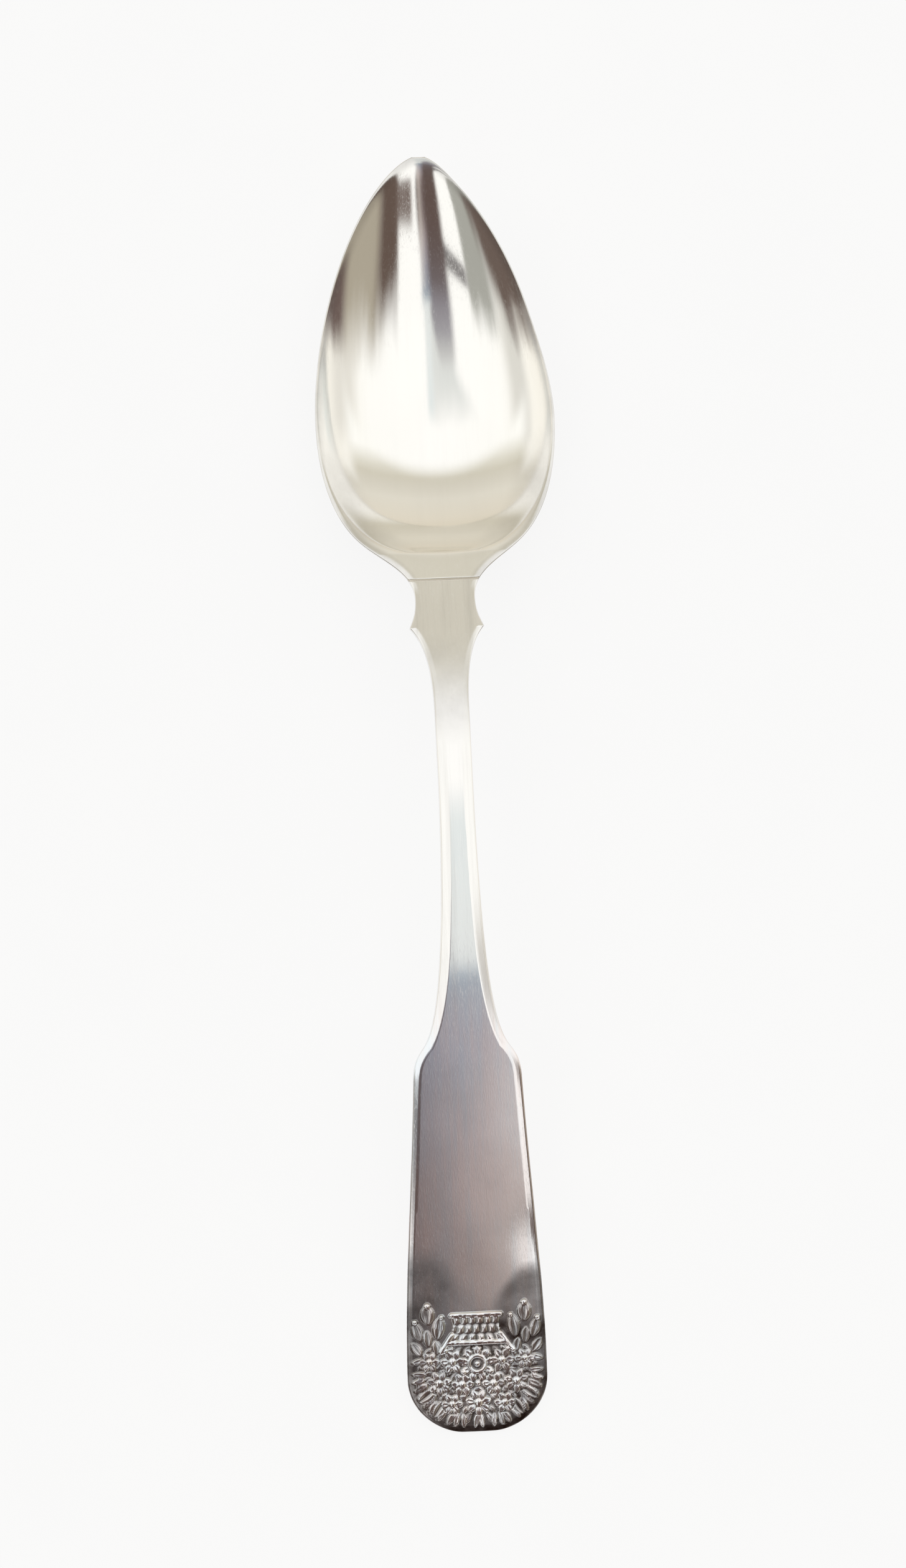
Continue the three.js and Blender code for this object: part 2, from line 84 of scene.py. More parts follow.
# Heights of the front face above the table, and where they are taken
SHOULDER_HEIGHT = 17.6
ARCH_HEIGHT = 24.395
STEM_HEIGHT = 22.4
SEAM_HEIGHT = 15.6
HEEL_RIM_HEIGHT = 11.8
RIM_HEIGHT = 10.3
TIP_HEIGHT = 11.8
END_HEIGHT = 1.35
ARCH_FROM_SHOULDER = 40.0
STEM_FROM_FIN = 13.8
HEEL_RIM_FROM_SEAM = 14.6
RIM_FROM_TIP = 36.0

# Shape of the bowl and its wear
HEEL_POWER = 0.7
TIP_POWER = 1.26
TIP_WEAR = 0.3
HEEL_FULLNESS = 1.2
TIP_FULLNESS = 1.3
SIDE_STEEPNESS = 0.25
DEEPEST_FROM_HEEL = 27.0
HEEL_SOFTNESS = 0.9
RIM_SOFTNESS = 0.15
RIM_ROUND_WIDTH = 0.2
RIM_ROUND_DROP = 0.16
TIP_LEAN = 0.9
TIP_LEAN_FROM_TIP = 40.0
SIDE_WEAR = 1.0
SIDE_WEAR_GROWS = (-7.0, 13.0)
SIDE_WEAR_WIDTH = 8.0

# Thicknesses
END_THICKNESS = 1.5
STEM_THICKNESS = 2.8
NECK_THICKNESS = 2.75
NECK_EDGE_THICKNESS = 1.2
BOWL_WALL = 1.1
RIM_THICKNESS = 0.55
REST_FLAT_DEPTH = 0.15

# Edges: a sloping bevel on the front, then a small rounding, as width across the face and drop below it
FIDDLE_BEVEL = (1.05, 0.16)
STEM_BEVEL = (1.7, 0.55)
NECK_BEVEL = (0.9, 0.15)
BEVEL_POWER = 1.05
STEM_BEVEL_END = 128.0
EDGE_ROUND_WIDTH = 0.35
EDGE_ROUND_DROP = 0.24
BACK_ROUND_WIDTH = 1.2
BACK_ROUND_DROP = 0.35
FIDDLE_CROWN = 0.14
WORN_SPOT = (13.0, 32.5)
WORN_SPOT_SIZE = (5.0, 5.5)
WORN_SPOT_DEPTH = 0.2

# Lengths over which one form eases into the next; for the stem, two places measured from the shoulder
STEM_EASE = (-6.0, 22.0)
NECK_EASE = 14.0
KEEL_EASE = 10.0
HEEL_EASE = 8.0
BRINK_EASE = 12.0
WALL_EASE = 10.0
WALL_EDGE_ZONE = 1.6

# Soldered lap joint
TONGUE_LENGTH = 18.0
TONGUE_WIDTH = 10.0
TONGUE_ROOT = 2.0
TONGUE_ROOT_SHARE = 0.7
TONGUE_ROOT_INSET = 0.04
TONGUE_TAPER = 0.98
TONGUE_EDGE = 0.3
TONGUE_CROWN = 1.0
TONGUE_CROWN_FADE = 0.6
TONGUE_EASE = 6.0
TONGUE_TOP_EASE = 0.5
LEAST_TONGUE = 0.05
LAP_STEP = 0.5
LAP_COLUMNS = 25
JOINT_GAP = 0.3
SOLDER_WIDTH = 0.3
SOLDER_INSET = 0.05
SOLDER_OVERLAP = 0.03
SOLDER_ROWS = 5
SOLDER_FLAT = 12
SEAM_LIP_WIDTH = 0.5
SEAM_LIP_DROP = 0.012
FAR_FROM_EDGE = 9.0

# Struck ornament: a basket of flowers, its foot towards the bowl
FOOT_STATION = 20.3
FOOT_WIDTH = 8.4
BASKET_RIM_STATION = 15.5
BASKET_RIM_WIDTH = 10.4
BASKET_WAIST = 0.14
BASKET_HANDLE = ((4.2, 1.4), (6.3, -1.5))
BASKET_CLEARING = (0.4, 0.6)
STAVE_COUNT = 6
WEAVE_ROWS = 3
WEAVE_GROUND = 0.08
WEAVE_HEIGHT = 0.3
WEAVE_POWER = 0.6
BAR_RADIUS = 0.5
RELIEF_HEIGHT = 0.55
PETAL_HEIGHT = 0.46
FACE_MARGIN = 0.8
BRINK_MARGIN = 0.35
ORNAMENT_END = 23.0

# Form of a leaf: power of its point, width of its groove, drop at its ends, then how far grooves are sunk
LEAF_POWER = 0.7
GROOVE_WIDTH = 0.45
LEAF_DROOP = 0.25
PETAL_SUNK = 0.3
EDGE_LEAF_SUNK = 0.35
SPRIG_SUNK = 0.6
BROAD_SUNK = 0.95

# Form of a flower, against the radius of its heart
PETAL_REACH = 1.85
PETAL_SIZE = 1.05
PETAL_SHARE = 0.85
FLOWER_CLEARING = 2.7
FLOWER_GROUND = 0.2

# Flowers as (across, station, radius of the heart, petals), with their mirror images
FLOWERS = (
    (4.3, 12.3, 0.74, 6), (8.3, 12.4, 0.62, 6), (2.7, 8.3, 0.7, 6),
    (6.7, 8.6, 0.75, 7), (0.0, 5.0, 0.8, 7), (4.6, 4.9, 0.65, 6))

# Rose in the middle
ROSE = (0.0, 11.8)
ROSE_RING = (1.4, 0.4)
ROSE_HEART = 0.55
ROSE_PETALS = 9
ROSE_REACH = 2.3
ROSE_PETAL = (0.8, 0.78)
ROSE_CLEARING = 2.7
ROSE_GROUND = 0.1

# Leaves of the sprigs beside the basket, as (across, station, turn, half length, half breadth), broad hollow
# leaves low in the bouquet given in the same way, and buds as (across, station, radius)
SPRIG_LEAVES = (
    (8.4, 20.6, 0.05, 1.7, 1.25), (6.5, 18.2, -0.15, 2.0, 1.1), (10.2, 17.7, 0.3, 1.7, 1.0),
    (8.5, 16.5, 0.1, 1.4, 0.85), (10.4, 14.7, 0.6, 1.4, 0.85), (7.0, 14.9, 0.2, 1.2, 0.8))
BROAD_LEAVES = ((8.9, 6.6, 2.2, 1.9, 0.95), (6.9, 4.2, 2.55, 1.7, 0.9))
BUDS = (
    (8.4, 22.1, 0.6), (10.6, 19.4, 0.5), (6.0, 20.1, 0.45),
    (5.5, 14.2, 0.5), (2.4, 10.4, 0.5), (0.0, 8.4, 0.5))

# Leaves round the handle's end, with the ranges from which chance picks the swing, scale and height of each
EDGE_LEAF_END = 12.5
EDGE_LEAF_SPACING = 1.75
EDGE_LEAF_RANGES = ((-0.25, 0.25), (0.85, 1.2), (0.36, 0.52))
EDGE_LEAF_INSET = 1.35
EDGE_LEAF_SIZE = (1.45, 0.62)

# Small leaves between the flowers, in rows and columns given as start, stop and step, with the same ranges
FOLIAGE_ROWS = (2.6, 15.0, 1.15)
FOLIAGE_COLUMNS = (0.35, 11.3, 1.35)
FOLIAGE_SHIFT = 0.65
FOLIAGE_JITTER = 0.3
FOLIAGE_FAN = 2.0
FOLIAGE_RANGES = ((-0.6, 0.6), (0.75, 1.15), (0.16, 0.44))
FOLIAGE_BREADTH = 0.55
FOLIAGE_MARGIN = 8.0

# Uneven wear of the ornament: its depth, and how fast it changes across and along
ORNAMENT_WEAR = 0.15
WEAR_WAVES = ((2.1, 0.7), (-0.9, 1.6))

# Tarnish and painted shade, from 0 to 1. Dark sides of the ornament, partly tarnish and partly a painted
# dark
# reflection: strength, what is added between two places across, two reaches along the spoon and the places
# across between which one turns into the other, and the fade round it
DARK_SIDES = (
    (0.22, 0.54, (-1.5, -7.0), (28.0, 35.0), (4.0, -9.0), (-9.0, 0.0)),
    (0.0, 0.62, (0.0, 6.0), (23.5, 29.5), (1.5, 9.0), (-3.0, 1.0)))
STEM_FILM = 0.16
STEM_FILM_GROWS = (116.0, 124.0)
STEM_FILM_FADES = (133.0, 141.0)
FACE_FILM = 0.13
FACE_FILM_FADE = 16.0
FACE_FILM_EDGE = (0.7, 1.5)
RECESS_TARNISH = 0.88
RECESS_RISES = (0.04, 0.34)
RECESS_FADE = 5.0
WORN_RISES = (0.15, 0.4)
RIM_TARNISH = 0.25
RIM_TARNISH_EDGE = (0.3, 2.0)
HEEL_FILM = 0.2
HEEL_FILM_GROWS = 4.0
HEEL_FILM_FADES = (12.0, 24.0)
HEEL_FILM_EDGE = (2.0, 8.0)
BACK_TARNISH = 0.15
TONGUE_TARNISH = 0.2
SOLDER_TARNISH = 0.25

# Meshes: steps along the spoon, counts of points across, and stretches where edges are measured all round
FINE_END = 38.0
FINE_STEP = 0.13
COARSE_STEP = 0.6
FINE_FLAT = 84
COARSE_FLAT = 21
EDGE_COUNT = 8
BACK_FLAT = 6
BACK_EDGE_COUNT = 5
FIN_ROWS = (-0.3, -0.15, 0.0, 0.15, 0.3)
LIP_ROWS = 4
WALL_ROWS = 3
BOWL_FLAT = 44
BOWL_EDGE_COUNT = 14
BOWL_EDGE_ZONE = 3.0
BOWL_EDGE_SHARE = 0.45
HEEL_STEP = 0.16
HEEL_FINE_LENGTH = 4.0
BOWL_STEP = 0.45
END_ZONE = 14.0
END_MARGIN = 2.0
TIP_ZONE = 9.0
TIP_MARGIN = 3.0
TIP_ROW_GAP = 0.1
WELD_DISTANCE = 0.002

# Landmarks along the spoon
SHOULDER = FIDDLE_LENGTH
FIN = SHOULDER + STEM_LENGTH
SEAM = FIN + NECK_LENGTH
TIP = SEAM + BOWL_LENGTH
WAIST = FIN + FIN_BACK_LENGTH
HOLLOW = SEAM + HEEL_LENGTH
HOLLOW_LENGTH = BOWL_LENGTH - HEEL_LENGTH - RIM_WIDTH
DEEPEST = HOLLOW + DEEPEST_FROM_HEEL
FILLET_END = WAIST + FILLET_LENGTH
HANDLE_STOP = SEAM - SOLDER_WIDTH / 2
BOWL_START = SEAM + SOLDER_WIDTH / 2


def mix(a, b, t):
    return a + (b - a) * t


def ease(start, stop, value):
    t = np.clip((value - start) / (stop - start), 0, 1)
    return t * t * (3 - 2 * t)


def fall(start, stop, value):
    return 1 - ease(start, stop, value)


def natural_spline(points):
    """A smooth curve through points, as a function of the first coordinate."""
    x, y = np.array(points, float).T
    step = np.diff(x)
    count = len(x)
    system = np.eye(count)
    right = np.zeros(count)
    for i in range(1, count - 1):
        system[i, i - 1:i + 2] = step[i - 1], 2 * (step[i - 1] + step[i]), step[i]
        right[i] = 6 * ((y[i + 1] - y[i]) / step[i] - (y[i] - y[i - 1]) / step[i - 1])
    bend = np.linalg.solve(system, right)

    def curve(value):
        value = np.asarray(value, float)
        i = np.clip(np.searchsorted(x, value) - 1, 0, count - 2)
        a = (x[i + 1] - value) / step[i]
        b = (value - x[i]) / step[i]
        cubic = (a ** 3 - a) * bend[i] + (b ** 3 - b) * bend[i + 1]
        return a * y[i] + b * y[i + 1] + cubic * step[i] ** 2 / 6

    return curve


front_line = natural_spline([
    (0, END_HEIGHT),
    (SHOULDER, SHOULDER_HEIGHT),
    (SHOULDER + ARCH_FROM_SHOULDER, ARCH_HEIGHT),
    (FIN - STEM_FROM_FIN, STEM_HEIGHT),
    (SEAM, SEAM_HEIGHT),
    (SEAM + HEEL_RIM_FROM_SEAM, HEEL_RIM_HEIGHT),
    (TIP - RIM_FROM_TIP, RIM_HEIGHT),
    (TIP, TIP_HEIGHT),
])


# Plan outline

def egg_shape(x):
    return np.sign(x) * np.abs(x) ** HEEL_POWER * np.maximum(0, 1 - x) ** TIP_POWER


EGG_PEAK = egg_shape(HEEL_POWER / (HEEL_POWER + TIP_POWER))


def egg_squared(station, start, length, half_width):
    return half_width ** 2 * egg_shape((station - start) / length) / EGG_PEAK


def bowl_half_width(station):
    start = SEAM + EGG_FROM_SEAM
    squared = egg_squared(station, start, TIP + TIP_WEAR - start, BOWL_WIDTH / 2)
    return np.sqrt(np.maximum(0, squared))


def bezier(points, count):
    """Points along a cubic curve, without its first point."""
    t = np.linspace(0, 1, count + 1)[1:, None]
    a, b, c, d = [np.array(p, float) for p in points]
    return a * (1 - t) ** 3 + 3 * b * t * (1 - t) ** 2 + 3 * c * t ** 2 * (1 - t) + d * t ** 3


def handle_curves():
    """Curves of the outline from the handle's flat end to the waist.

    Each has its start, length and end width, two pulls as shares of the length and of the change of width,
    and its count of points.
    """
    foot = SHOULDER + SHOULDER_LENGTH
    stem = foot + SWEEP_LENGTH
    flare = FIN - FIN_FLARE_LENGTH
    bow = 2 * END_BOW / END_ROUND_LENGTH
    tuck = SHOULDER_TUCK / (SHOULDER_WIDTH - SHOULDER_FOOT_WIDTH)
    return (
        (0, END_ROUND_LENGTH, FIDDLE_WIDTH, (bow, 0.42), (0.38, 1), 96),
        (END_ROUND_LENGTH, SHOULDER - END_ROUND_LENGTH, SHOULDER_WIDTH, (0.33, 0), (0.67, 0.72), 120),
        (SHOULDER, SHOULDER_LENGTH, SHOULDER_FOOT_WIDTH, (0.55, tuck), (0.72, 0.45), 40),
        (foot, SWEEP_LENGTH, STEM_WIDTH, (0.065, 0.58), (0.32, 0.98), 120),
        (stem, flare - stem, STEM_WIDTH, (0.33, 0), (0.67, 1), 20),
        (flare, FIN_FLARE_LENGTH, FIN_WIDTH, (0.62, 0), (0.86, 0.47), 48),
        (FIN, FIN_BACK_LENGTH, NECK_WIDTH, (0.3, 0.5), (0.5, 1), 24),
    )


def fillet_curve():
    """Pulls and end of the curve from the waist into the bowl's egg shape, which it meets smoothly."""
    step = 0.1
    half = float(bowl_half_width(FILLET_END))
    slope = (float(bowl_half_width(FILLET_END + step)) - half) / step
    first, second = [FILLET_LENGTH * pull for pull in FILLET_PULLS]
    return (WAIST + first, NECK_WIDTH / 2), (FILLET_END - second, half - second * slope), (FILLET_END, half)


def half_outline():
    """The plan outline of one side, from the handle's end to the tip, as (station, half width)."""
    flat = np.linspace(0, 1, END_FLAT_COUNT + 1)
    pieces = [np.stack([END_BOW * flat * flat, END_FLAT_WIDTH / 2 * flat], 1)]
    width = END_FLAT_WIDTH
    for begin, length, end_width, *pulls, count in handle_curves():
        shares = pulls + [(1, 1)]
        curve = [(begin + length * far, mix(width, end_width, wide) / 2) for far, wide in shares]
        pieces.append(bezier([pieces[-1][-1], *curve], count))
        width = end_width
    pieces.append(bezier([pieces[-1][-1], *fillet_curve()], FILLET_COUNT))
    turn = np.linspace(0, math.pi / 2, EGG_COUNT + 1)[1:]
    stations = FILLET_END + (TIP - FILLET_END) * np.sin(turn)
    egg = np.stack([stations, bowl_half_width(stations)], 1)
    egg[-1, 0] -= END_BOW
    blunt = np.linspace(1, 0, TIP_FLAT_COUNT + 1)[1:]
    tip = np.stack([TIP - END_BOW * blunt ** 2, float(bowl_half_width(TIP)) * blunt], 1)
    return np.concatenate(pieces + [egg, tip])


OUTLINE = half_outline()


def half_width(station):
    return np.interp(station, OUTLINE[:, 0], OUTLINE[:, 1])


def outline_lean(station):
    """How far the outline turns away from the long axis, as a factor on distances measured across."""
    step = 0.02
    steepest = 3
    slope = (half_width(station + step) - half_width(station - step)) / (2 * step)
    return np.hypot(1, np.clip(slope, -steepest, steepest))


def distance_to_outline(across, station, outline):
    """True distance from points in the plan to one stretch of the outline."""
    side = np.abs(across)
    best = np.full(across.shape, np.inf)
    for (s0, w0), (s1, w1) in zip(outline[:-1], outline[1:]):
        length = (s1 - s0) ** 2 + (w1 - w0) ** 2
        t = np.clip(((station - s0) * (s1 - s0) + (side - w0) * (w1 - w0)) / length, 0, 1)
        gap = np.hypot(station - mix(s0, s1, t), side - mix(w0, w1, t))
        best = np.minimum(best, gap)
    return best


def edge_distance(across, station, width):
    """Distance in the plan from points of a piece to its outline, given each row's half width."""
    near = (width[:, None] - np.abs(across)) / outline_lean(station)
    end = station[:, 0] < END_ZONE, OUTLINE[OUTLINE[:, 0] < END_ZONE + END_MARGIN]
    tip = station[:, 0] > TIP - TIP_ZONE, OUTLINE[OUTLINE[:, 0] > TIP - TIP_ZONE - TIP_MARGIN]
    for rows, stretch in (end, tip):
        if rows.any():
            near[rows] = distance_to_outline(across[rows], station[rows], stretch)
    near[:, 0] = 0
    near[:, -1] = 0
    return np.maximum(0, near)


# Faces of the handle and the bowl

def stem_share(station):
    """Grows from 0 on the fiddle to 1 on the stem."""
    return ease(SHOULDER + STEM_EASE[0], SHOULDER + STEM_EASE[1], station)


def along_handle(station, fiddle, stem, neck):
    """A value along the handle that eases from the fiddle to the stem and on to the neck."""
    to_neck = ease(FIN - NECK_EASE, FIN, station)
    return mix(mix(fiddle, stem, stem_share(station)), neck, to_neck)


def round_drop(distance, width, drop):
    """How far a rounded edge lies below its face."""
    t = np.clip(1 - distance / width, 0, 1)
    return drop * (1 - np.sqrt(np.maximum(0, 1 - t * t)))


def along_bevel(station, size):
    """Width or drop of the front bevel, which is small again before the neck."""
    neck = NECK_BEVEL[size]
    bevel = along_handle(station, FIDDLE_BEVEL[size], STEM_BEVEL[size], neck)
    return mix(bevel, neck, ease(STEM_BEVEL_END - NECK_EASE, STEM_BEVEL_END, station))


def bevel_width(station):
    return along_bevel(station, 0)


def front_edge_drop(distance, width, drop):
    """How far a front edge lies below its face: a worn bevel with a small rounding at its outer side."""
    slope = np.clip(1 - distance / width, 0, 1) ** BEVEL_POWER
    return drop * slope + round_drop(distance, EDGE_ROUND_WIDTH, EDGE_ROUND_DROP)


def handle_front(across, station, edge):
    bevel = front_edge_drop(edge, bevel_width(station), along_bevel(station, 1))
    crown = FIDDLE_CROWN * (across / (FIDDLE_WIDTH / 2)) ** 2 * (1 - stem_share(station))
    lip = round_drop(HANDLE_STOP - station, SEAM_LIP_WIDTH, SEAM_LIP_DROP)
    x = (across - WORN_SPOT[0]) / WORN_SPOT_SIZE[0]
    y = (station - WORN_SPOT[1]) / WORN_SPOT_SIZE[1]
    worn = WORN_SPOT_DEPTH * np.exp(-(x ** 2 + y ** 2))
    return front_line(station) - bevel - crown - lip - worn


def handle_back(across, station, edge, width):
    flat = along_handle(station, END_THICKNESS, STEM_THICKNESS, NECK_THICKNESS)
    plain = flat - round_drop(edge, BACK_ROUND_WIDTH, BACK_ROUND_DROP)
    share = (across / np.maximum(width, TINY)[:, None]) ** 2
    keeled = mix(NECK_THICKNESS, NECK_EDGE_THICKNESS, share)
    thickness = mix(plain, keeled, ease(FIN - KEEL_EASE, SEAM, station))
    return np.maximum(0, front_line(station) - thickness)


def keel_fullness(x):
    deepest = DEEPEST_FROM_HEEL / HOLLOW_LENGTH
    square = ((1 - HEEL_FULLNESS) / deepest - (TIP_FULLNESS - HEEL_FULLNESS)) / (deepest - 1)
    return HEEL_FULLNESS + (TIP_FULLNESS - HEEL_FULLNESS - square) * x + square * x * x


def hollow_depth(across, station):
    half = BOWL_WIDTH / 2 - RIM_WIDTH
    middle_depth = float(front_line(DEEPEST)) + REST_FLAT_DEPTH - BOWL_WALL
    inside = egg_squared(station, HOLLOW, HOLLOW_LENGTH, half) - across ** 2
    middle = egg_squared(DEEPEST, HOLLOW, HOLLOW_LENGTH, half)
    side = 1 + SIDE_STEEPNESS * (across / half) ** 2
    return middle_depth * keel_fullness((station - HOLLOW) / HOLLOW_LENGTH) * inside / middle * side


def soft_depth(across, station):
    """Depth of the hollow with its brink worn round, most at the heel."""
    depth = hollow_depth(across, station)
    softness = mix(HEEL_SOFTNESS, RIM_SOFTNESS, ease(HOLLOW, HOLLOW + BRINK_EASE, station))
    return (depth + np.sqrt(depth * depth + softness * softness)) / 2


def bowl_front(across, station, edge):
    neck_edge = front_edge_drop(edge, *NECK_BEVEL)
    rim_edge = round_drop(edge, RIM_ROUND_WIDTH, RIM_ROUND_DROP)
    rounding = mix(neck_edge, rim_edge, ease(SEAM, SEAM + HEEL_EASE, station))
    lip = round_drop(station - BOWL_START, SEAM_LIP_WIDTH, SEAM_LIP_DROP)
    return front_line(station) - soft_depth(across, station) - rounding - lip


def bowl_back(across, station, edge):
    wall = mix(RIM_THICKNESS, BOWL_WALL, ease(0, WALL_EDGE_ZONE, edge))
    wall = mix(np.full_like(wall, BOWL_WALL), wall, ease(HOLLOW, HOLLOW + WALL_EASE, station))
    return np.maximum(0, front_line(station) - soft_depth(across, station) - wall)


# Struck ornament, as heights above the handle's face at places in the plan, given as (across, station)

def away(plan, place):
    return np.hypot(plan[0] - place[0], plan[1] - place[1])


def rounded(r, height):
    """A round profile over a share of its radius."""
    return height * np.sqrt(np.clip(1 - r * r, 0, 1))


def dome(plan, place, radius, height):
    return rounded(away(plan, place) / radius, height)


def bar(plan, start, end):
    run = np.array(end) - np.array(start)
    t = np.clip(((plan[0] - start[0]) * run[0] + (plan[1] - start[1]) * run[1]) / (run @ run), 0, 1)
    nearest = start[0] + t * run[0], start[1] + t * run[1]
    return rounded(away(plan, nearest) / BAR_RADIUS, RELIEF_HEIGHT)


def leaf(plan, place, turn, half_length, half_breadth, height, sunk):
    """A pointed leaf whose middle is sunk by a share. Turn is measured from the way towards the tip."""
    across = plan[0] - place[0]
    along = plan[1] - place[1]
    x = across * math.sin(turn) + along * math.cos(turn)
    y = across * math.cos(turn) - along * math.sin(turn)
    t = np.clip(x / half_length, -1, 1)
    share = y / (half_breadth * (1 - t * t) ** LEAF_POWER + TINY)
    body = rounded(share, height) * (np.abs(x) < half_length)
    return body * (1 - sunk * np.exp(-(share / GROOVE_WIDTH) ** 2)) * (1 - LEAF_DROOP * t * t)


def leaf_pair(plan, place, turn, *form):
    """A leaf and its mirror image."""
    return np.maximum(leaf(plan, place, turn, *form), leaf(plan, (-place[0], place[1]), -turn, *form))


def petals_round(plan, place, reach, count, shift, *form):
    """A ring of petals that point away from their middle."""
    petals = []
    for k in range(count):
        turn = 2 * math.pi * (k + shift) / count
        middle = (place[0] + reach * math.sin(turn), place[1] + reach * math.cos(turn))
        petals.append(leaf(plan, middle, turn, *form, PETAL_SUNK))
    return np.max(petals, 0)


def flower(plan, place, heart, petals):
    """A heart among round petals that touch each other."""
    reach = PETAL_REACH * heart
    form = PETAL_SIZE * heart, PETAL_SIZE * math.pi * reach / petals, PETAL_SHARE * RELIEF_HEIGHT
    top = dome(plan, place, heart, RELIEF_HEIGHT)
    return np.maximum(top, petals_round(plan, place, reach, petals, 0.5, *form))


def rose(plan):
    """Open rose in the middle: a heart inside a ring, and petals outside it."""
    radius, thickness = ROSE_RING
    ring = rounded((away(plan, ROSE) - radius) / thickness, RELIEF_HEIGHT)
    heart = dome(plan, ROSE, ROSE_HEART, PETAL_HEIGHT)
    petals = petals_round(plan, ROSE, ROSE_REACH, ROSE_PETALS, 0, *ROSE_PETAL, PETAL_HEIGHT)
    return np.max([ring, heart, petals], 0)


def basket(plan):
    """Woven basket between its foot and its rim, with staves that spread to the rim, and two handles."""
    across, station = plan
    share = (station - BASKET_RIM_STATION) / (FOOT_STATION - BASKET_RIM_STATION)
    waist = 1 - BASKET_WAIST * np.sin(math.pi * np.clip(share, 0, 1))
    half = mix(BASKET_RIM_WIDTH, FOOT_WIDTH, share) / 2 * waist
    inside = (share > 0) & (share < 1) & (np.abs(across) < half)
    turn = math.pi * STAVE_COUNT * (across / half + 1) / 2
    course = share * WEAVE_ROWS
    over = np.abs(np.sin(turn + math.pi / 2 * (np.floor(course) % 2)))
    weave = WEAVE_GROUND + WEAVE_HEIGHT * over * np.abs(np.sin(math.pi * course)) ** WEAVE_POWER
    tops = [np.where(inside, weave, 0)]
    for width, along in ((FOOT_WIDTH, FOOT_STATION), (BASKET_RIM_WIDTH, BASKET_RIM_STATION)):
        tops.append(bar(plan, (-width / 2, along), (width / 2, along)))
    for side in (1, -1):
        tops.append(bar(plan, *[(side * out, BASKET_RIM_STATION + along) for out, along in BASKET_HANDLE]))
    return np.max(tops, 0)


def edge_leaves(plan):
    """Leaves that point outwards round the end of the handle."""
    top = np.zeros_like(plan[0])
    chance = np.random.default_rng(3)
    arc = OUTLINE[OUTLINE[:, 0] < EDGE_LEAF_END]
    length = np.concatenate([[0], np.cumsum(np.hypot(*np.diff(arc, axis=0).T))])
    step = 0.2
    for travel in np.arange(EDGE_LEAF_SPACING / 2, length[-1], EDGE_LEAF_SPACING):
        here, ahead = [[np.interp(at, length, arc[:, k]) for k in (0, 1)] for at in (travel, travel + step)]
        swing, scale, height = [chance.uniform(*limits) for limits in EDGE_LEAF_RANGES]
        turn = math.atan2(ahead[0] - here[0], -(ahead[1] - here[1])) + swing
        inset = FACE_MARGIN + EDGE_LEAF_INSET * scale
        place = (here[1] - inset * math.sin(turn), here[0] - inset * math.cos(turn))
        size = [part * scale for part in EDGE_LEAF_SIZE]
        top = np.maximum(top, leaf_pair(plan, place, turn, *size, height, EDGE_LEAF_SUNK))
    return top


def foliage(plan):
    """Small leaves that spread out from the basket and fill the ground between the flowers."""
    top = np.zeros_like(plan[0])
    chance = np.random.default_rng(11)
    stretch = OUTLINE[OUTLINE[:, 0] < END_ZONE + FOLIAGE_MARGIN]
    first, last, spacing = FOLIAGE_COLUMNS
    for row, along in enumerate(np.arange(*FOLIAGE_ROWS)):
        for out in np.arange(first + FOLIAGE_SHIFT * (row % 2), last, spacing):
            place = [value + chance.uniform(-FOLIAGE_JITTER, FOLIAGE_JITTER) for value in (out, along)]
            swing, scale, height = [chance.uniform(*limits) for limits in FOLIAGE_RANGES]
            turn = math.atan2(place[0], place[1] - BASKET_RIM_STATION - FOLIAGE_FAN) + swing
            size = scale, FOLIAGE_BREADTH * scale
            room = distance_to_outline(*np.array(place)[:, None], stretch)[0]
            if room >= FACE_MARGIN + scale:
                top = np.maximum(top, leaf_pair(plan, place, turn, *size, height, PETAL_SUNK))
    return top


def mirrored(rows):
    """Each row and, where its place lies off the middle line, its mirror image."""
    for out, *others in rows:
        yield out, *others
        if out > 0:
            yield -out, *others


def relief(plan):
    """Height of the struck ornament above the handle's face."""
    top = np.maximum(foliage(plan), edge_leaves(plan))
    for out, along, *form in BROAD_LEAVES:
        grown = leaf_pair(plan, (out, along), *form, RELIEF_HEIGHT, BROAD_SUNK)
        top = np.where(grown > 0, grown, top)
    for out, along, heart, petals in mirrored(FLOWERS):
        covered = away(plan, (out, along)) < FLOWER_CLEARING * heart
        top = np.where(covered, FLOWER_GROUND * top, top)
        top = np.maximum(top, flower(plan, (out, along), heart, petals))
    top = np.where(away(plan, ROSE) < ROSE_CLEARING, ROSE_GROUND * top, top)
    top = np.maximum(top, rose(plan))
    covered = np.abs(plan[0]) < BASKET_RIM_WIDTH / 2 + BASKET_CLEARING[0]
    covered &= plan[1] > BASKET_RIM_STATION - BASKET_CLEARING[1]
    top = np.maximum(np.where(covered, 0, top), basket(plan))
    for out, along, *form in SPRIG_LEAVES:
        top = np.maximum(top, leaf_pair(plan, (out, along), *form, PETAL_HEIGHT, SPRIG_SUNK))
    for out, along, radius in mirrored(BUDS):
        top = np.maximum(top, dome(plan, (out, along), radius, RELIEF_HEIGHT))
    waves = [a * plan[0] + b * plan[1] for a, b in WEAR_WAVES]
    return top * (1 - ORNAMENT_WEAR + ORNAMENT_WEAR * np.sin(waves[0]) * np.cos(waves[1]))


# Meshes

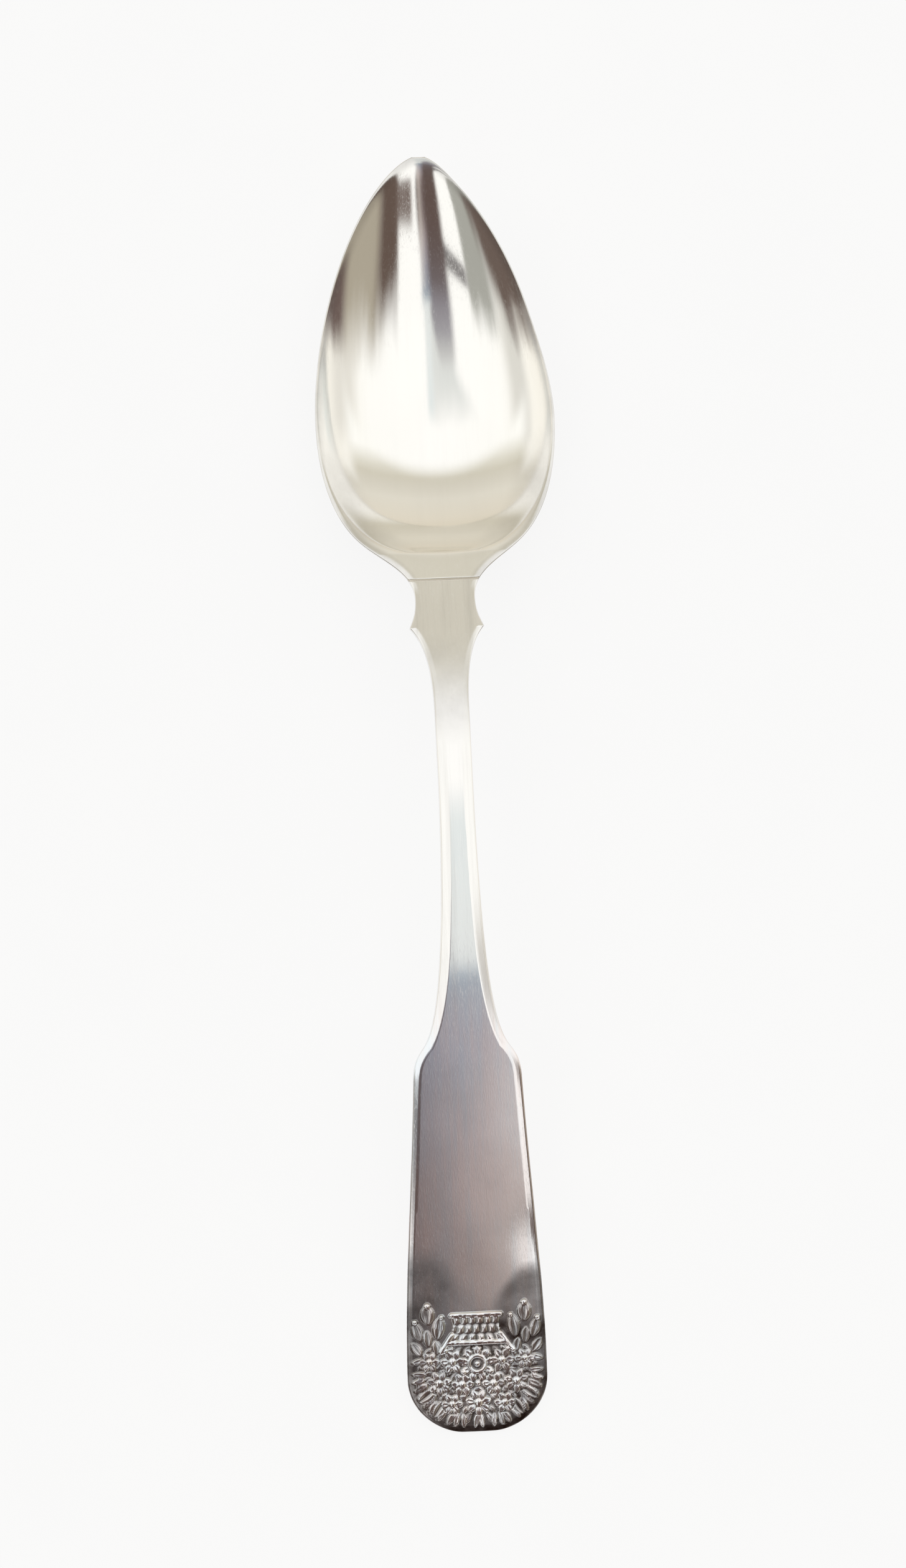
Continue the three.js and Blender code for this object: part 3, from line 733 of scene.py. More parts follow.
class Shell:
    """Points and faces of one piece, gathered from grids and welded when the piece is made."""

    def __init__(self):
        self.points = []
        self.tarnish_and_painted_shade = []
        self.faces = []
        self.count = 0

    def add_points(self, across, station, height, tarnish_and_painted_shade=0.0):
        """Adds a grid of points and returns their numbers in the same grid."""
        station = np.broadcast_to(station, across.shape)
        place = np.stack([across, station - TIP / 2, height], -1).reshape(-1, 3)
        self.points.append(place * MM)
        self.tarnish_and_painted_shade.append(np.broadcast_to(tarnish_and_painted_shade, across.shape).reshape(-1))
        numbers = np.arange(self.count, self.count + len(place)).reshape(across.shape)
        self.count += len(place)
        return numbers

    def add_quads(self, numbers, flip=False):
        corners = [numbers[:-1, :-1], numbers[:-1, 1:], numbers[1:, 1:], numbers[1:, :-1]]
        quads = np.stack(corners, -1).reshape(-1, 4)
        self.faces += (quads[:, ::-1] if flip else quads).tolist()

    def add_strip(self, fine, coarse, steps):
        """Triangles between a fine and a coarse row; steps are the fine points under the coarse ones."""
        for k in range(len(coarse) - 1):
            chain = fine[steps[k]:steps[k + 1] + 1].tolist()
            a, b = int(coarse[k]), int(coarse[k + 1])
            middle = len(chain) // 2
            for j in range(len(chain) - 1):
                self.faces.append([chain[j], chain[j + 1], a if j < middle else b])
            self.faces.append([chain[middle], b, a])

    def add_walls(self, front, back, steps):
        """Side walls between the outer points of a front and a back grid, returned as two grids."""
        points = np.concatenate(self.points) / MM
        share = np.linspace(0, 1, steps + 1)[None, :, None]
        walls = []
        for column, flip in ((0, False), (-1, True)):
            place = mix(points[front[:, column]][:, None, :], points[back[:, column]][:, None, :], share)
            walls.append(self.add_points(place[..., 0], place[..., 1] + TIP / 2, place[..., 2]))
            self.add_quads(walls[-1], flip)
        return walls

    def add_cap(self, front, back, walls, row):
        """Closes one end between a front grid, a back grid and their side walls."""
        left, right = [wall[row, 1:-1].tolist() for wall in walls]
        self.faces.append(front[row].tolist() + right + back[row, ::-1].tolist() + left[::-1])

    def add_block(self, across, station, top, bottom, tarnish_and_painted_shade):
        """A closed block between two faces over the same places."""
        front = self.add_points(across, station, top, tarnish_and_painted_shade)
        back = self.add_points(across, station, bottom, tarnish_and_painted_shade)
        self.add_quads(front)
        self.add_quads(back, True)
        self.add_walls(front, back, 1)
        for row, flip in ((0, True), (-1, False)):
            self.add_quads(np.stack([front[row], back[row]]), flip)

    def outer_heights(self, numbers):
        """Heights in millimetres of a grid's two outer columns."""
        return np.concatenate(self.points)[numbers[:, [0, -1]]][..., 2] / MM

    def make(self, name):
        mesh = bpy.data.meshes.new(name)
        mesh.from_pydata(np.concatenate(self.points).tolist(), [], self.faces)
        # The attribute holds tarnish and, on the handle, painted dark reflection beside the ornament
        layer = mesh.attributes.new("tarnish_and_painted_shade", "FLOAT", "POINT")
        layer.data.foreach_set("value", np.concatenate(self.tarnish_and_painted_shade).astype(np.float32))
        work = bmesh.new()
        work.from_mesh(mesh)
        bmesh.ops.remove_doubles(work, verts=work.verts, dist=WELD_DISTANCE * MM)
        bmesh.ops.recalc_face_normals(work, faces=work.faces)
        work.to_mesh(mesh)
        work.free()
        mesh.shade_smooth()
        piece = bpy.data.objects.new(name, mesh)
        bpy.context.scene.collection.objects.link(piece)
        return piece


def row_places(width, edge_zone, flat_count, edge_count):
    """Places across rows of given half widths, close together over the rounded edges."""
    turn = np.linspace(0, math.pi / 2, edge_count + 1)
    zone = np.minimum(edge_zone, width / 2)[:, None]
    edge = width[:, None] - zone * (1 - np.sin(turn))
    flat = np.linspace(0, 1, flat_count + 1)[:-1] * (width[:, None] - zone)
    half = np.concatenate([flat, edge], 1)
    return np.concatenate([-half[:, :0:-1], half], 1)


def rows_between(start, stop, step):
    return np.linspace(start, stop, max(2, int(round((stop - start) / step)) + 1))


def face_grid(stations, widths, *spacing):
    """Places across, stations and distances from the edge over the rows of a face."""
    across = row_places(widths, *spacing)
    station = np.broadcast_to(stations[:, None], across.shape)
    return across, station, edge_distance(across, station, widths)


def lap_grid(rows, half):
    """Places across and stations over rows of the lap joint."""
    across = half[:, None] * np.linspace(-1, 1, LAP_COLUMNS)
    return across, np.broadcast_to(rows[:, None], across.shape)


# Handle

def handle_rows():
    """Stations and half widths of the handle's fine rows at its end and of the coarse rows on."""
    end = OUTLINE[OUTLINE[:, 0] <= END_ROUND_LENGTH + TINY]
    fine = rows_between(END_ROUND_LENGTH, FINE_END, FINE_STEP)[1:]
    coarse = rows_between(FINE_END, HANDLE_STOP - SEAM_LIP_WIDTH, COARSE_STEP)[1:]
    lip = rows_between(coarse[-1], HANDLE_STOP, SEAM_LIP_WIDTH / LIP_ROWS)[1:]
    coarse = np.unique(np.concatenate([coarse, FIN + np.array(FIN_ROWS), lip]))
    fine_stations = np.concatenate([end[:, 0], fine])
    fine_widths = np.concatenate([end[:, 1], half_width(fine)])
    return fine_stations, fine_widths, coarse, half_width(coarse)


def handle_tarnish_and_painted_shade(across, station, edge):
    """Painted dark reflection, with some tarnish, at both sides of the ornament, a film on the stem and a
    duller fiddle face.
    """
    stem = STEM_FILM * ease(*STEM_FILM_GROWS, station) * fall(*STEM_FILM_FADES, station)
    face = FACE_FILM * fall(SHOULDER, SHOULDER + FACE_FILM_FADE, station) * ease(*FACE_FILM_EDGE, edge)
    films_and_painted_shade = [stem, face]
    # Dark sides of the ornament: painted dark reflection, partly tarnish
    for ground, added, grows, ends, end_grows, fade in DARK_SIDES:
        end = mix(*ends, ease(*end_grows, across))
        strength = ground + added * ease(*grows, across)
        films_and_painted_shade.append(fall(end + fade[0], end + fade[1], station) * strength)
    return np.max(films_and_painted_shade, 0)


def handle_face(shell, stations, widths, flat_count):
    """One grid of the handle's front, with the struck ornament where it lies."""
    zone = bevel_width(stations) * outline_lean(stations)
    across, station, edge = face_grid(stations, widths, zone, flat_count, EDGE_COUNT)
    height = handle_front(across, station, edge)
    # Tarnish in the recesses and on the stem, and painted dark reflection beside the ornament
    tarnish_and_painted_shade = handle_tarnish_and_painted_shade(across, station, edge)
    struck = int(np.searchsorted(stations, ORNAMENT_END))
    if struck > 0:
        rise = relief((across[:struck], station[:struck]))
        rise *= ease(BRINK_MARGIN, FACE_MARGIN, edge[:struck])
        height[:struck] += rise
        recess = RECESS_TARNISH * fall(*RECESS_RISES, rise)
        recess *= fall(ORNAMENT_END - RECESS_FADE, ORNAMENT_END, station[:struck])
        tarnish_and_painted_shade[:struck] = np.maximum(tarnish_and_painted_shade[:struck] * fall(*WORN_RISES, rise), recess)
    return shell.add_points(across, station, height, tarnish_and_painted_shade)


def tongue_half_width(station):
    share = np.clip((station - SEAM) / TONGUE_LENGTH, 0, 1)
    return TONGUE_WIDTH / 2 * np.sqrt(1 - TONGUE_TAPER * share ** 3)


def add_tongue(shell):
    """The handle's tongue under the heel of the bowl."""
    root = SEAM - TONGUE_ROOT
    rows = rows_between(root, SEAM + TONGUE_LENGTH, LAP_STEP)
    share = np.clip((rows - SEAM) / TONGUE_LENGTH, 0, 1)[:, None]
    half = tongue_half_width(rows)
    half = half * mix(TONGUE_ROOT_SHARE, 1.0, ease(root, SEAM + TONGUE_TOP_EASE, rows))
    across, station = lap_grid(rows, half)
    far = np.full(across.shape, FAR_FROM_EDGE)
    neck = handle_back(across, np.minimum(station, SEAM), far, half_width(np.minimum(rows, SEAM)))
    lap = bowl_back(across, np.maximum(station, SEAM), far) - JOINT_GAP
    to_lap = ease(SEAM - TONGUE_TOP_EASE, SEAM + TONGUE_TOP_EASE, station)
    top = np.minimum(mix(neck + JOINT_GAP, lap, to_lap), lap)
    crown = (1 - TONGUE_CROWN_FADE * share) * TONGUE_CROWN * (1 - (across / half[:, None]) ** 2)
    to_crown = ease(SEAM, SEAM + TONGUE_EASE, station)
    bottom = np.maximum(0, mix(neck + TONGUE_ROOT_INSET, top - TONGUE_EDGE - crown, to_crown))
    bottom = np.minimum(bottom, top - LEAST_TONGUE)
    shell.add_block(across, station, top, bottom, TONGUE_TARNISH)


def handle():
    shell = Shell()
    fine, fine_width, coarse, coarse_width = handle_rows()
    dense = handle_face(shell, fine, fine_width, FINE_FLAT)
    plain = handle_face(shell, coarse, coarse_width, COARSE_FLAT)
    ratio = FINE_FLAT // COARSE_FLAT
    steps = list(range(EDGE_COUNT))
    steps += [EDGE_COUNT + ratio * k for k in range(2 * COARSE_FLAT + 1)]
    steps += [steps[-1] + k for k in range(1, EDGE_COUNT + 1)]
    shell.add_quads(dense)
    shell.add_quads(plain)
    shell.add_strip(dense[-1], plain[0], steps)
    stations = np.concatenate([fine, coarse])
    widths = np.concatenate([fine_width, coarse_width])
    zone = BACK_ROUND_WIDTH * outline_lean(stations)
    across, station, edge = face_grid(stations, widths, zone, BACK_FLAT, BACK_EDGE_COUNT)
    under = handle_back(across, station, edge, widths)
    sides = np.concatenate([dense[:, [0, -1]], plain[:, [0, -1]]])
    under[:, [0, -1]] = np.minimum(under[:, [0, -1]], shell.outer_heights(sides))
    back = shell.add_points(across, station, under, BACK_TARNISH)
    shell.add_quads(back, True)
    walls = shell.add_walls(sides, back, WALL_ROWS)
    shell.add_cap(plain, back, walls, -1)
    add_tongue(shell)
    return shell.make("silver_handle")


# Bowl and solder

def bowl_rows():
    """Stations and half widths of the bowl's rows, close together at the heel and the tip."""
    heel = rows_between(BOWL_START, BOWL_START + SEAM_LIP_WIDTH, SEAM_LIP_WIDTH / LIP_ROWS)
    land = rows_between(heel[-1], HOLLOW + HEEL_FINE_LENGTH, HEEL_STEP)[1:]
    middle = rows_between(land[-1], TIP - TIP_ZONE, BOWL_STEP)[1:]
    tip = OUTLINE[OUTLINE[:, 0] > TIP - TIP_ZONE + TIP_ROW_GAP]
    plain = np.concatenate([heel, land, middle])
    stations = np.concatenate([plain, tip[:, 0]])
    widths = np.concatenate([half_width(plain), tip[:, 1]])
    return stations, widths


def worn_places(across, station, widths):
    """Places across the worn bowl: its tip leans to the left, and its right side is narrower there."""
    start = TIP - TIP_LEAN_FROM_TIP
    lean = TIP_LEAN * np.maximum(0, (station - start) / TIP_LEAN_FROM_TIP) ** 2
    share = np.clip(across / np.maximum(widths, TINY)[:, None], 0, 1)
    wear = SIDE_WEAR * ease(start + SIDE_WEAR_GROWS[0], start + SIDE_WEAR_GROWS[1], station)
    wear = wear * ease(0, SIDE_WEAR_WIDTH, widths)[:, None]
    return across - lean - wear * share ** 2


def bowl_tarnish(station, edge):
    """A dark rim, and a film beside the heel."""
    rim = RIM_TARNISH * fall(*RIM_TARNISH_EDGE, edge)
    fades = [HOLLOW + place for place in HEEL_FILM_FADES]
    film = HEEL_FILM * fall(*fades, station) * fall(*HEEL_FILM_EDGE, edge)
    return np.maximum(rim, film * ease(SEAM + HEEL_FILM_GROWS, HOLLOW + HEEL_FILM_GROWS, station))


def bowl():
    shell = Shell()
    stations, widths = bowl_rows()
    zone = np.minimum(BOWL_EDGE_ZONE * outline_lean(stations), BOWL_EDGE_SHARE * widths)
    across, station, edge = face_grid(stations, widths, zone, BOWL_FLAT, BOWL_EDGE_COUNT)
    worn = worn_places(across, station, widths)
    front = shell.add_points(worn, station, bowl_front(across, station, edge), bowl_tarnish(station, edge))
    back = shell.add_points(worn, station, bowl_back(across, station, edge), BACK_TARNISH)
    shell.add_quads(front)
    shell.add_quads(back, True)
    walls = shell.add_walls(front, back, WALL_ROWS)
    shell.add_cap(front, back, walls, 0)
    return shell.make("silver_bowl")


def add_solder_film(shell):
    """Solder between the tongue and the bowl's underside, which shows as a fine line round the tongue."""
    rows = rows_between(SEAM + SOLDER_WIDTH, SEAM + TONGUE_LENGTH - SOLDER_INSET, LAP_STEP)
    across, station = lap_grid(rows, tongue_half_width(rows) - SOLDER_INSET)
    under = bowl_back(across, station, np.full(across.shape, FAR_FROM_EDGE))
    top = under + SOLDER_OVERLAP
    shell.add_block(across, station, top, under - JOINT_GAP - SOLDER_OVERLAP, SOLDER_TARNISH)


def solder_seam():
    """Solder that shows as a fine line across the neck, between the handle and the heel of the bowl."""
    shell = Shell()
    reach = SOLDER_WIDTH / 2 + SOLDER_OVERLAP
    stations = np.linspace(SEAM - reach, SEAM + reach, SOLDER_ROWS)
    widths = half_width(stations) - SOLDER_OVERLAP
    across, station, edge = face_grid(stations, widths, NECK_BEVEL[0], SOLDER_FLAT, EDGE_COUNT)
    top = front_line(station) - front_edge_drop(edge, *NECK_BEVEL) - SEAM_LIP_DROP
    shell.add_block(across, station, top, front_line(station) - NECK_EDGE_THICKNESS, SOLDER_TARNISH)
    add_solder_film(shell)
    return shell.make("solder_line")


# Materials

# Colour of tarnish, also used for the painted dark reflection beside the ornament
TARNISH_AND_PAINTED_SHADE_COLOUR = (0.052, 0.035, 0.03)
TARNISH_ROUGHNESS = 0.22
BLUE_STAIN = (0.81, 0.865, 0.92)
PINK_STAIN = (0.955, 0.87, 0.855)
STAIN_RANGE = (0.82, 1.15)
STAIN_FADES = (22.0, 4.0)
STAIN_GAIN = 6.0
CLOUD_RANGE = (0.3, 0.65)
CLOUD_GAIN = (0.66, 1.18)
HAZE_RANGE = (0.4, 0.75)
SMEAR_RANGE = (0.42, 0.72)
SCRATCH_RANGE = (0.52, 0.78)
SCRATCH_ROUGHNESS = 0.1
WAVE_DEPTH = 6e-5

# Scales of the lengthwise and stray scratches and of the broad bands, to X, Y and Z
SCRATCH_SCALE = (5200.0, 110.0, 5200.0)
STRAY_SCALE = (3400.0, 150.0, 3400.0)
STRAY_TURN = (0.0, 0.0, 0.5)
BAND_SCALE = (520.0, 14.0, 60.0)

# Grey of the table, and how much of it is seen as plain white
TABLE_GREYS = (0.93, 0.96)
TABLE_WHITE_SHARE = 0.84


class Nodes:
    """Short ways to add and join shader nodes."""

    def __init__(self, tree):
        self.tree = tree
        tree.nodes.clear()

    def put(self, socket, value):
        if isinstance(value, bpy.types.NodeSocket):
            self.tree.links.new(value, socket)
        else:
            socket.default_value = value

    def add(self, kind, inputs=None, **settings):
        node = self.tree.nodes.new(kind)
        for key, value in settings.items():
            setattr(node, key, value)
        for key, value in (inputs or {}).items():
            self.put(node.inputs[key], value)
        return node

    def math(self, operation, a, b=0.0, clamp=False):
        return self.add("ShaderNodeMath", {0: a, 1: b}, operation=operation, use_clamp=clamp).outputs[0]

    def plus(self, a, b, clamp=False):
        return self.math("ADD", a, b, clamp)

    def times(self, a, b, clamp=False):
        return self.math("MULTIPLY", a, b, clamp)

    def larger(self, a, b, clamp=False):
        return self.math("MAXIMUM", a, b, clamp)

    def step(self, value, start, stop, low=0.0, high=1.0):
        inputs = {"Value": value, "From Min": start, "From Max": stop, "To Min": low, "To Max": high}
        return self.add("ShaderNodeMapRange", inputs, interpolation_type="SMOOTHSTEP").outputs["Result"]

    def blend(self, factor, a, b):
        node = self.add("ShaderNodeMix", {0: factor}, data_type="RGBA")
        for number, value in ((6, a), (7, b)):
            colour = (*value, 1.0) if isinstance(value, tuple) else value
            self.put(node.inputs[number], colour)
        return node.outputs[2]

    def mapped(self, vector, scale, turn=(0.0, 0.0, 0.0)):
        inputs = {"Vector": vector, "Rotation": turn, "Scale": scale}
        return self.add("ShaderNodeMapping", inputs).outputs["Vector"]

    def noise(self, vector, scale, detail, roughness=0.55):
        inputs = {"Vector": vector, "Scale": scale, "Detail": detail, "Roughness": roughness}
        return self.add("ShaderNodeTexNoise", inputs).outputs["Fac"]

    def bump(self, height, strength, distance, **inputs):
        inputs = {"Height": height, "Strength": strength, "Distance": distance, **inputs}
        return self.add("ShaderNodeBump", inputs).outputs["Normal"]

    def ramp(self, factor, stops):
        node = self.add("ShaderNodeValToRGB", {"Fac": factor})
        elements = node.color_ramp.elements
        while len(elements) < len(stops):
            elements.new(1.0)
        for element, (place, colour) in zip(elements, stops):
            element.position = place
            element.color = (*colour, 1.0)
        return node.outputs["Color"]


def new_material(name):
    material = bpy.data.materials.new(name)
    material.use_nodes = True
    return material, Nodes(material.node_tree)


def silver(name, clean, polish, film, scratch_depth, streaks):
    """Worn silver: scratches and streaks, soft waves, a thin film, dark tarnished recesses and painted dark
    reflection beside the ornament.
    """
    material, n = new_material(name)
    place = n.add("ShaderNodeTexCoord").outputs["Object"]
    lines = n.noise(n.mapped(place, SCRATCH_SCALE), 1.0, detail=3.0, roughness=0.6)
    stray = n.noise(n.mapped(place, STRAY_SCALE, STRAY_TURN), 1.0, detail=3.0, roughness=0.6)
    bands = n.noise(n.mapped(place, BAND_SCALE), 1.0, detail=6.0, roughness=0.7)
    clouds = n.noise(place, 120.0, detail=5.0, roughness=0.6)
    broad = n.noise(place, 28.0, detail=3.0, roughness=0.5)
    waves = n.noise(place, 75.0, detail=1.0, roughness=0.4)
    # Share of tarnish and of painted dark reflection, from the mesh
    mark = n.add("ShaderNodeAttribute", attribute_name="tarnish_and_painted_shade").outputs["Fac"]
    dark = n.times(mark, n.step(clouds, *CLOUD_RANGE, *CLOUD_GAIN), True)
    haze = n.step(broad, *HAZE_RANGE, 0.0, film)
    smear = n.step(bands, *SMEAR_RANGE, 0.0, streaks)
    amount = n.larger(dark, n.plus(haze, smear), True)
    tinted = n.blend(n.step(n.plus(bands, broad), *STAIN_RANGE), BLUE_STAIN, PINK_STAIN)
    length = n.add("ShaderNodeSeparateXYZ", {0: place}).outputs["Y"]
    fades = [(SHOULDER + past - TIP / 2) * MM for past in STAIN_FADES]
    stained = n.step(length, *fades, 0.0, streaks * STAIN_GAIN)
    colour = n.blend(amount, n.blend(stained, clean, tinted), TARNISH_AND_PAINTED_SHADE_COLOUR)
    scratched = n.step(n.larger(lines, stray), *SCRATCH_RANGE, 0.0, SCRATCH_ROUGHNESS)
    rough = n.plus(n.times(amount, TARNISH_ROUGHNESS), n.plus(scratched, polish))
    height = n.plus(n.times(lines, 0.7), n.times(stray, 0.3))
    fine = n.bump(height, strength=0.35, distance=scratch_depth)
    normal = n.bump(waves, strength=0.5, distance=WAVE_DEPTH, Normal=fine)
    inputs = {"Base Color": colour, "Metallic": 1.0, "Roughness": rough, "Normal": normal}
    surface = n.add("ShaderNodeBsdfPrincipled", inputs)
    n.add("ShaderNodeOutputMaterial", {"Surface": surface.outputs["BSDF"]})
    return material


def floor_white():
    """Plain white table that stays white to the eye and keeps a soft shadow of the spoon."""
    material, n = new_material("white_table")
    place = n.add("ShaderNodeTexCoord").outputs["Object"]
    grain = n.noise(place, 40.0, detail=3.0)
    colour = n.blend(n.step(grain, 0.3, 0.7), *[(grey, grey, grey) for grey in TABLE_GREYS])
    plain = n.add("ShaderNodeBsdfDiffuse", {"Color": colour})
    white = n.add("ShaderNodeEmission", {"Color": (1.0, 1.0, 1.0, 1.0), "Strength": 1.0})
    path = n.add("ShaderNodeLightPath").outputs
    seen = n.larger(path["Is Camera Ray"], path["Is Glossy Ray"])
    seen = n.larger(seen, path["Is Transmission Ray"])
    share = n.times(seen, TABLE_WHITE_SHARE)
    shown = n.add("ShaderNodeMixShader", {0: share, 1: plain.outputs["BSDF"], 2: white.outputs["Emission"]})
    n.add("ShaderNodeOutputMaterial", {"Surface": shown.outputs["Shader"]})
    return material


# Light of the room

# A direction is placed by x and y over one plus z, the slope of a mirror that shows it from above. A streak
# has its start and stop from side to side, their softness, its lean, and two slopes where it fades in.
# Streaks behind the camera, with their colours
STREAKS = (
    (-0.76, -0.56, 0.06, 0.07, 0.0, 0.34, 0.2, (0.7, 0.69, 0.65)),
    (0.6, 0.88, 0.08, 0.08, 0.0, 0.3, 0.1, (0.76, 0.74, 0.69)),
    (0.34, 0.86, 0.08, 0.06, 0.0, -0.03, -0.2, (0.4, 0.36, 0.29)),
    (0.228, 0.4, 0.018, 0.05, 0.0, -0.08, -0.215, (0.12, 0.085, 0.07)),
    (0.74, 2.0, 0.06, 0.1, 0.0, -0.05, -0.14, (0.14, 0.1, 0.09)),
    (-0.54, -0.3, 0.06, 0.018, 0.0, -0.115, -0.2, (0.38, 0.38, 0.35)),
    (-2.0, -0.54, 0.1, 0.07, -0.95, -0.1, -0.22, (0.14, 0.105, 0.09)),
)
LEAN_FROM = -0.27
UNEVEN_SCALE = (11.0, 3.0, 1.0)
UNEVEN_REACH = 0.14

# Pale haze and dark core in the middle, each where two streaks overlap that are open to one side
HAZE_EDGES = ((0.03, 9.0, 0.04, 1.0, -0.8, 0.14, -0.06), (-9.0, 0.05, 1.0, 0.02, -0.1, 0.14, 0.06))
HAZE_COLOUR = (0.71, 0.73, 0.72)
CORE_EDGES = ((-0.135, 9.0, 0.025, 1.0, 0.0, -0.02, -0.09), (-9.0, 0.064, 1.0, 0.016, -0.5, -0.02, -0.09))

# As seen in the bowl, a dark streak joins the core to its left neighbour, and a slanting one is to its right
JOINED = (0.11, 0.25, 0.02, 0.02, 0.0, -0.26, -0.28)
JOINED_COLOUR = (0.15, 0.11, 0.095)
CROSSING = (-0.3, -0.06, 0.03, 0.03, 0.0, -0.236, -0.25)
CROSSING_ENDS = (-0.282, -0.27)
CROSSING_SLANT = 0.14
CROSSING_COLOUR = (0.2, 0.19, 0.19)

# Window overhead, a narrow strip that widens to the back, where its left side is dimmer than its right
WINDOW_NARROW = (0.01, 0.044, 0.01, 0.01, 0.0, 0.11, 0.01)
WINDOW_WIDE = (0.0, 0.054, 0.02, 0.012, 0.0, -0.15, -0.168)
WINDOW_SIDES = (0.006, 0.058)
WINDOW_SHADED = (0.165, 0.2)
WINDOW_DIM = (0.3, (0.1, 0.07, 0.08))
WINDOW_BRIGHT = (0.36, (1.0, 0.93, 0.86))

# Tan wall beyond the bowl, bowed at its sides
WALL_BOW = 0.6
WALL_GROWS = (0.25, 0.39)
WALL_SIDES = (0.78, 0.62)
WALL_FULL = (0.33, 0.52)

# Colours along slopes: the ceiling from its middle to the sides, core and window to the back, the wall ahead
CEILING = (
    (0.0, (1.0, 1.0, 0.99)), (0.25, (0.98, 0.98, 0.96)), (0.45, (0.95, 0.93, 0.87)),
    (0.56, (0.9, 0.87, 0.8)), (0.66, (0.3, 0.27, 0.24)), (1.0, (0.2, 0.18, 0.16)))
CEILING_REACH = 1.8
CORE = (
    (0.0, (0.7, 0.72, 0.71)), (0.05, (0.65, 0.66, 0.65)), (0.09, (0.52, 0.52, 0.52)),
    (0.125, (0.34, 0.33, 0.355)), (0.165, (0.25, 0.235, 0.26)), (0.2, (0.15, 0.125, 0.13)),
    (0.25, (0.12, 0.09, 0.085)), (0.3, (0.11, 0.075, 0.065)))
WINDOW = (
    (0.0, (0.75, 0.8, 0.81)), (0.165, (0.77, 0.8, 0.8)), (0.175, (0.31, 0.37, 0.44)),
    (0.19, (0.32, 0.36, 0.43)), (0.222, (0.35, 0.35, 0.41)), (0.24, (0.4, 0.37, 0.4)),
    (0.262, (0.4, 0.34, 0.34)), (0.273, (0.29, 0.24, 0.23)), (0.281, (0.19, 0.145, 0.135)),
    (0.3, (0.12, 0.085, 0.075)))
WALL = (
    (0.2, (0.98, 0.98, 0.95)), (0.3, (0.72, 0.7, 0.62)), (0.36, (0.62, 0.59, 0.5)),
    (0.43, (0.65, 0.62, 0.54)), (0.55, (0.72, 0.69, 0.61)), (0.8, (0.72, 0.67, 0.57)),
    (1.0, (0.68, 0.62, 0.5)))
ROOM_STRENGTH = 1.09


def streak_share(n, side, ahead, start, stop, soft_start, soft_stop, lean, fade_start, fade_stop):
    """How much of a streak shows in each direction."""
    place = n.math("SUBTRACT", side, n.times(n.plus(ahead, -LEAN_FROM), lean))
    after = n.step(place, start - soft_start, start + soft_start)
    before = n.step(place, stop + soft_stop, stop - soft_stop)
    return n.times(n.times(after, before), n.step(ahead, fade_start, fade_stop))


def add_wall(n, shown, side, ahead):
    bowed = n.plus(ahead, n.times(n.times(side, side), WALL_BOW))
    wall = n.times(n.step(bowed, *WALL_GROWS), n.step(n.math("ABSOLUTE", side), *WALL_SIDES))
    wall = n.larger(wall, n.step(ahead, *WALL_FULL))
    return n.blend(wall, shown, n.ramp(ahead, WALL))


def add_dark_middle(n, shown, side, ahead, uneven, back):
    """Haze, joined streak, crossing streak and core, one over the other."""
    haze = n.times(*[streak_share(n, side, at, *edge) for at, edge in zip((uneven, ahead), HAZE_EDGES)])
    shown = n.blend(haze, shown, HAZE_COLOUR)
    shown = n.blend(streak_share(n, side, ahead, *JOINED), shown, JOINED_COLOUR)
    slanted = n.plus(ahead, n.times(side, CROSSING_SLANT))
    crossing = n.times(streak_share(n, side, slanted, *CROSSING), n.step(slanted, *CROSSING_ENDS))
    shown = n.blend(crossing, shown, CROSSING_COLOUR)
    core = n.times(*[streak_share(n, side, ahead, *edge) for edge in CORE_EDGES])
    return n.blend(core, shown, n.ramp(back, CORE))


def add_window(n, shown, side, ahead, back):
    window = n.larger(*[streak_share(n, side, ahead, *strip) for strip in (WINDOW_NARROW, WINDOW_WIDE)])
    shaded = n.step(back, *WINDOW_SHADED)
    tone = n.ramp(back, WINDOW)
    sides = [n.blend(n.times(shaded, share), tone, colour) for share, colour in (WINDOW_DIM, WINDOW_BRIGHT)]
    return n.blend(window, shown, n.blend(n.step(side, *WINDOW_SIDES), *sides))


def room_light():
    """Soft white room with a tan wall beyond the bowl and dim streaks behind the camera."""
    world = bpy.data.worlds.new("soft_room")
    bpy.context.scene.world = world
    world.use_nodes = True
    n = Nodes(world.node_tree)
    way = n.add("ShaderNodeTexCoord").outputs["Generated"]
    parts = n.add("ShaderNodeSeparateXYZ", {0: way}).outputs
    reach = n.larger(n.plus(parts["Z"], 1.0), 0.1)
    side, ahead = [n.math("DIVIDE", parts[axis], reach) for axis in ("X", "Y")]
    back = n.times(ahead, -1.0)
    spread = n.mapped(n.add("ShaderNodeCombineXYZ", {0: side, 1: ahead}).outputs[0], UNEVEN_SCALE)
    wobble = n.plus(n.noise(spread, 1.0, detail=3.0), -0.5)
    uneven = n.plus(ahead, n.times(wobble, UNEVEN_REACH))
    shown = n.ramp(n.math("DIVIDE", n.math("ABSOLUTE", side), CEILING_REACH), CEILING)
    for *places, colour in STREAKS:
        shown = n.blend(streak_share(n, side, uneven, *places), shown, colour)
    shown = add_wall(n, shown, side, ahead)
    shown = add_dark_middle(n, shown, side, ahead, uneven, back)
    shown = add_window(n, shown, side, ahead, back)
    light = n.add("ShaderNodeBackground", {"Color": shown, "Strength": ROOM_STRENGTH})
    n.add("ShaderNodeOutputWorld", {"Surface": light.outputs["Background"]})


# Table and camera

TABLE_REACH = 4.0


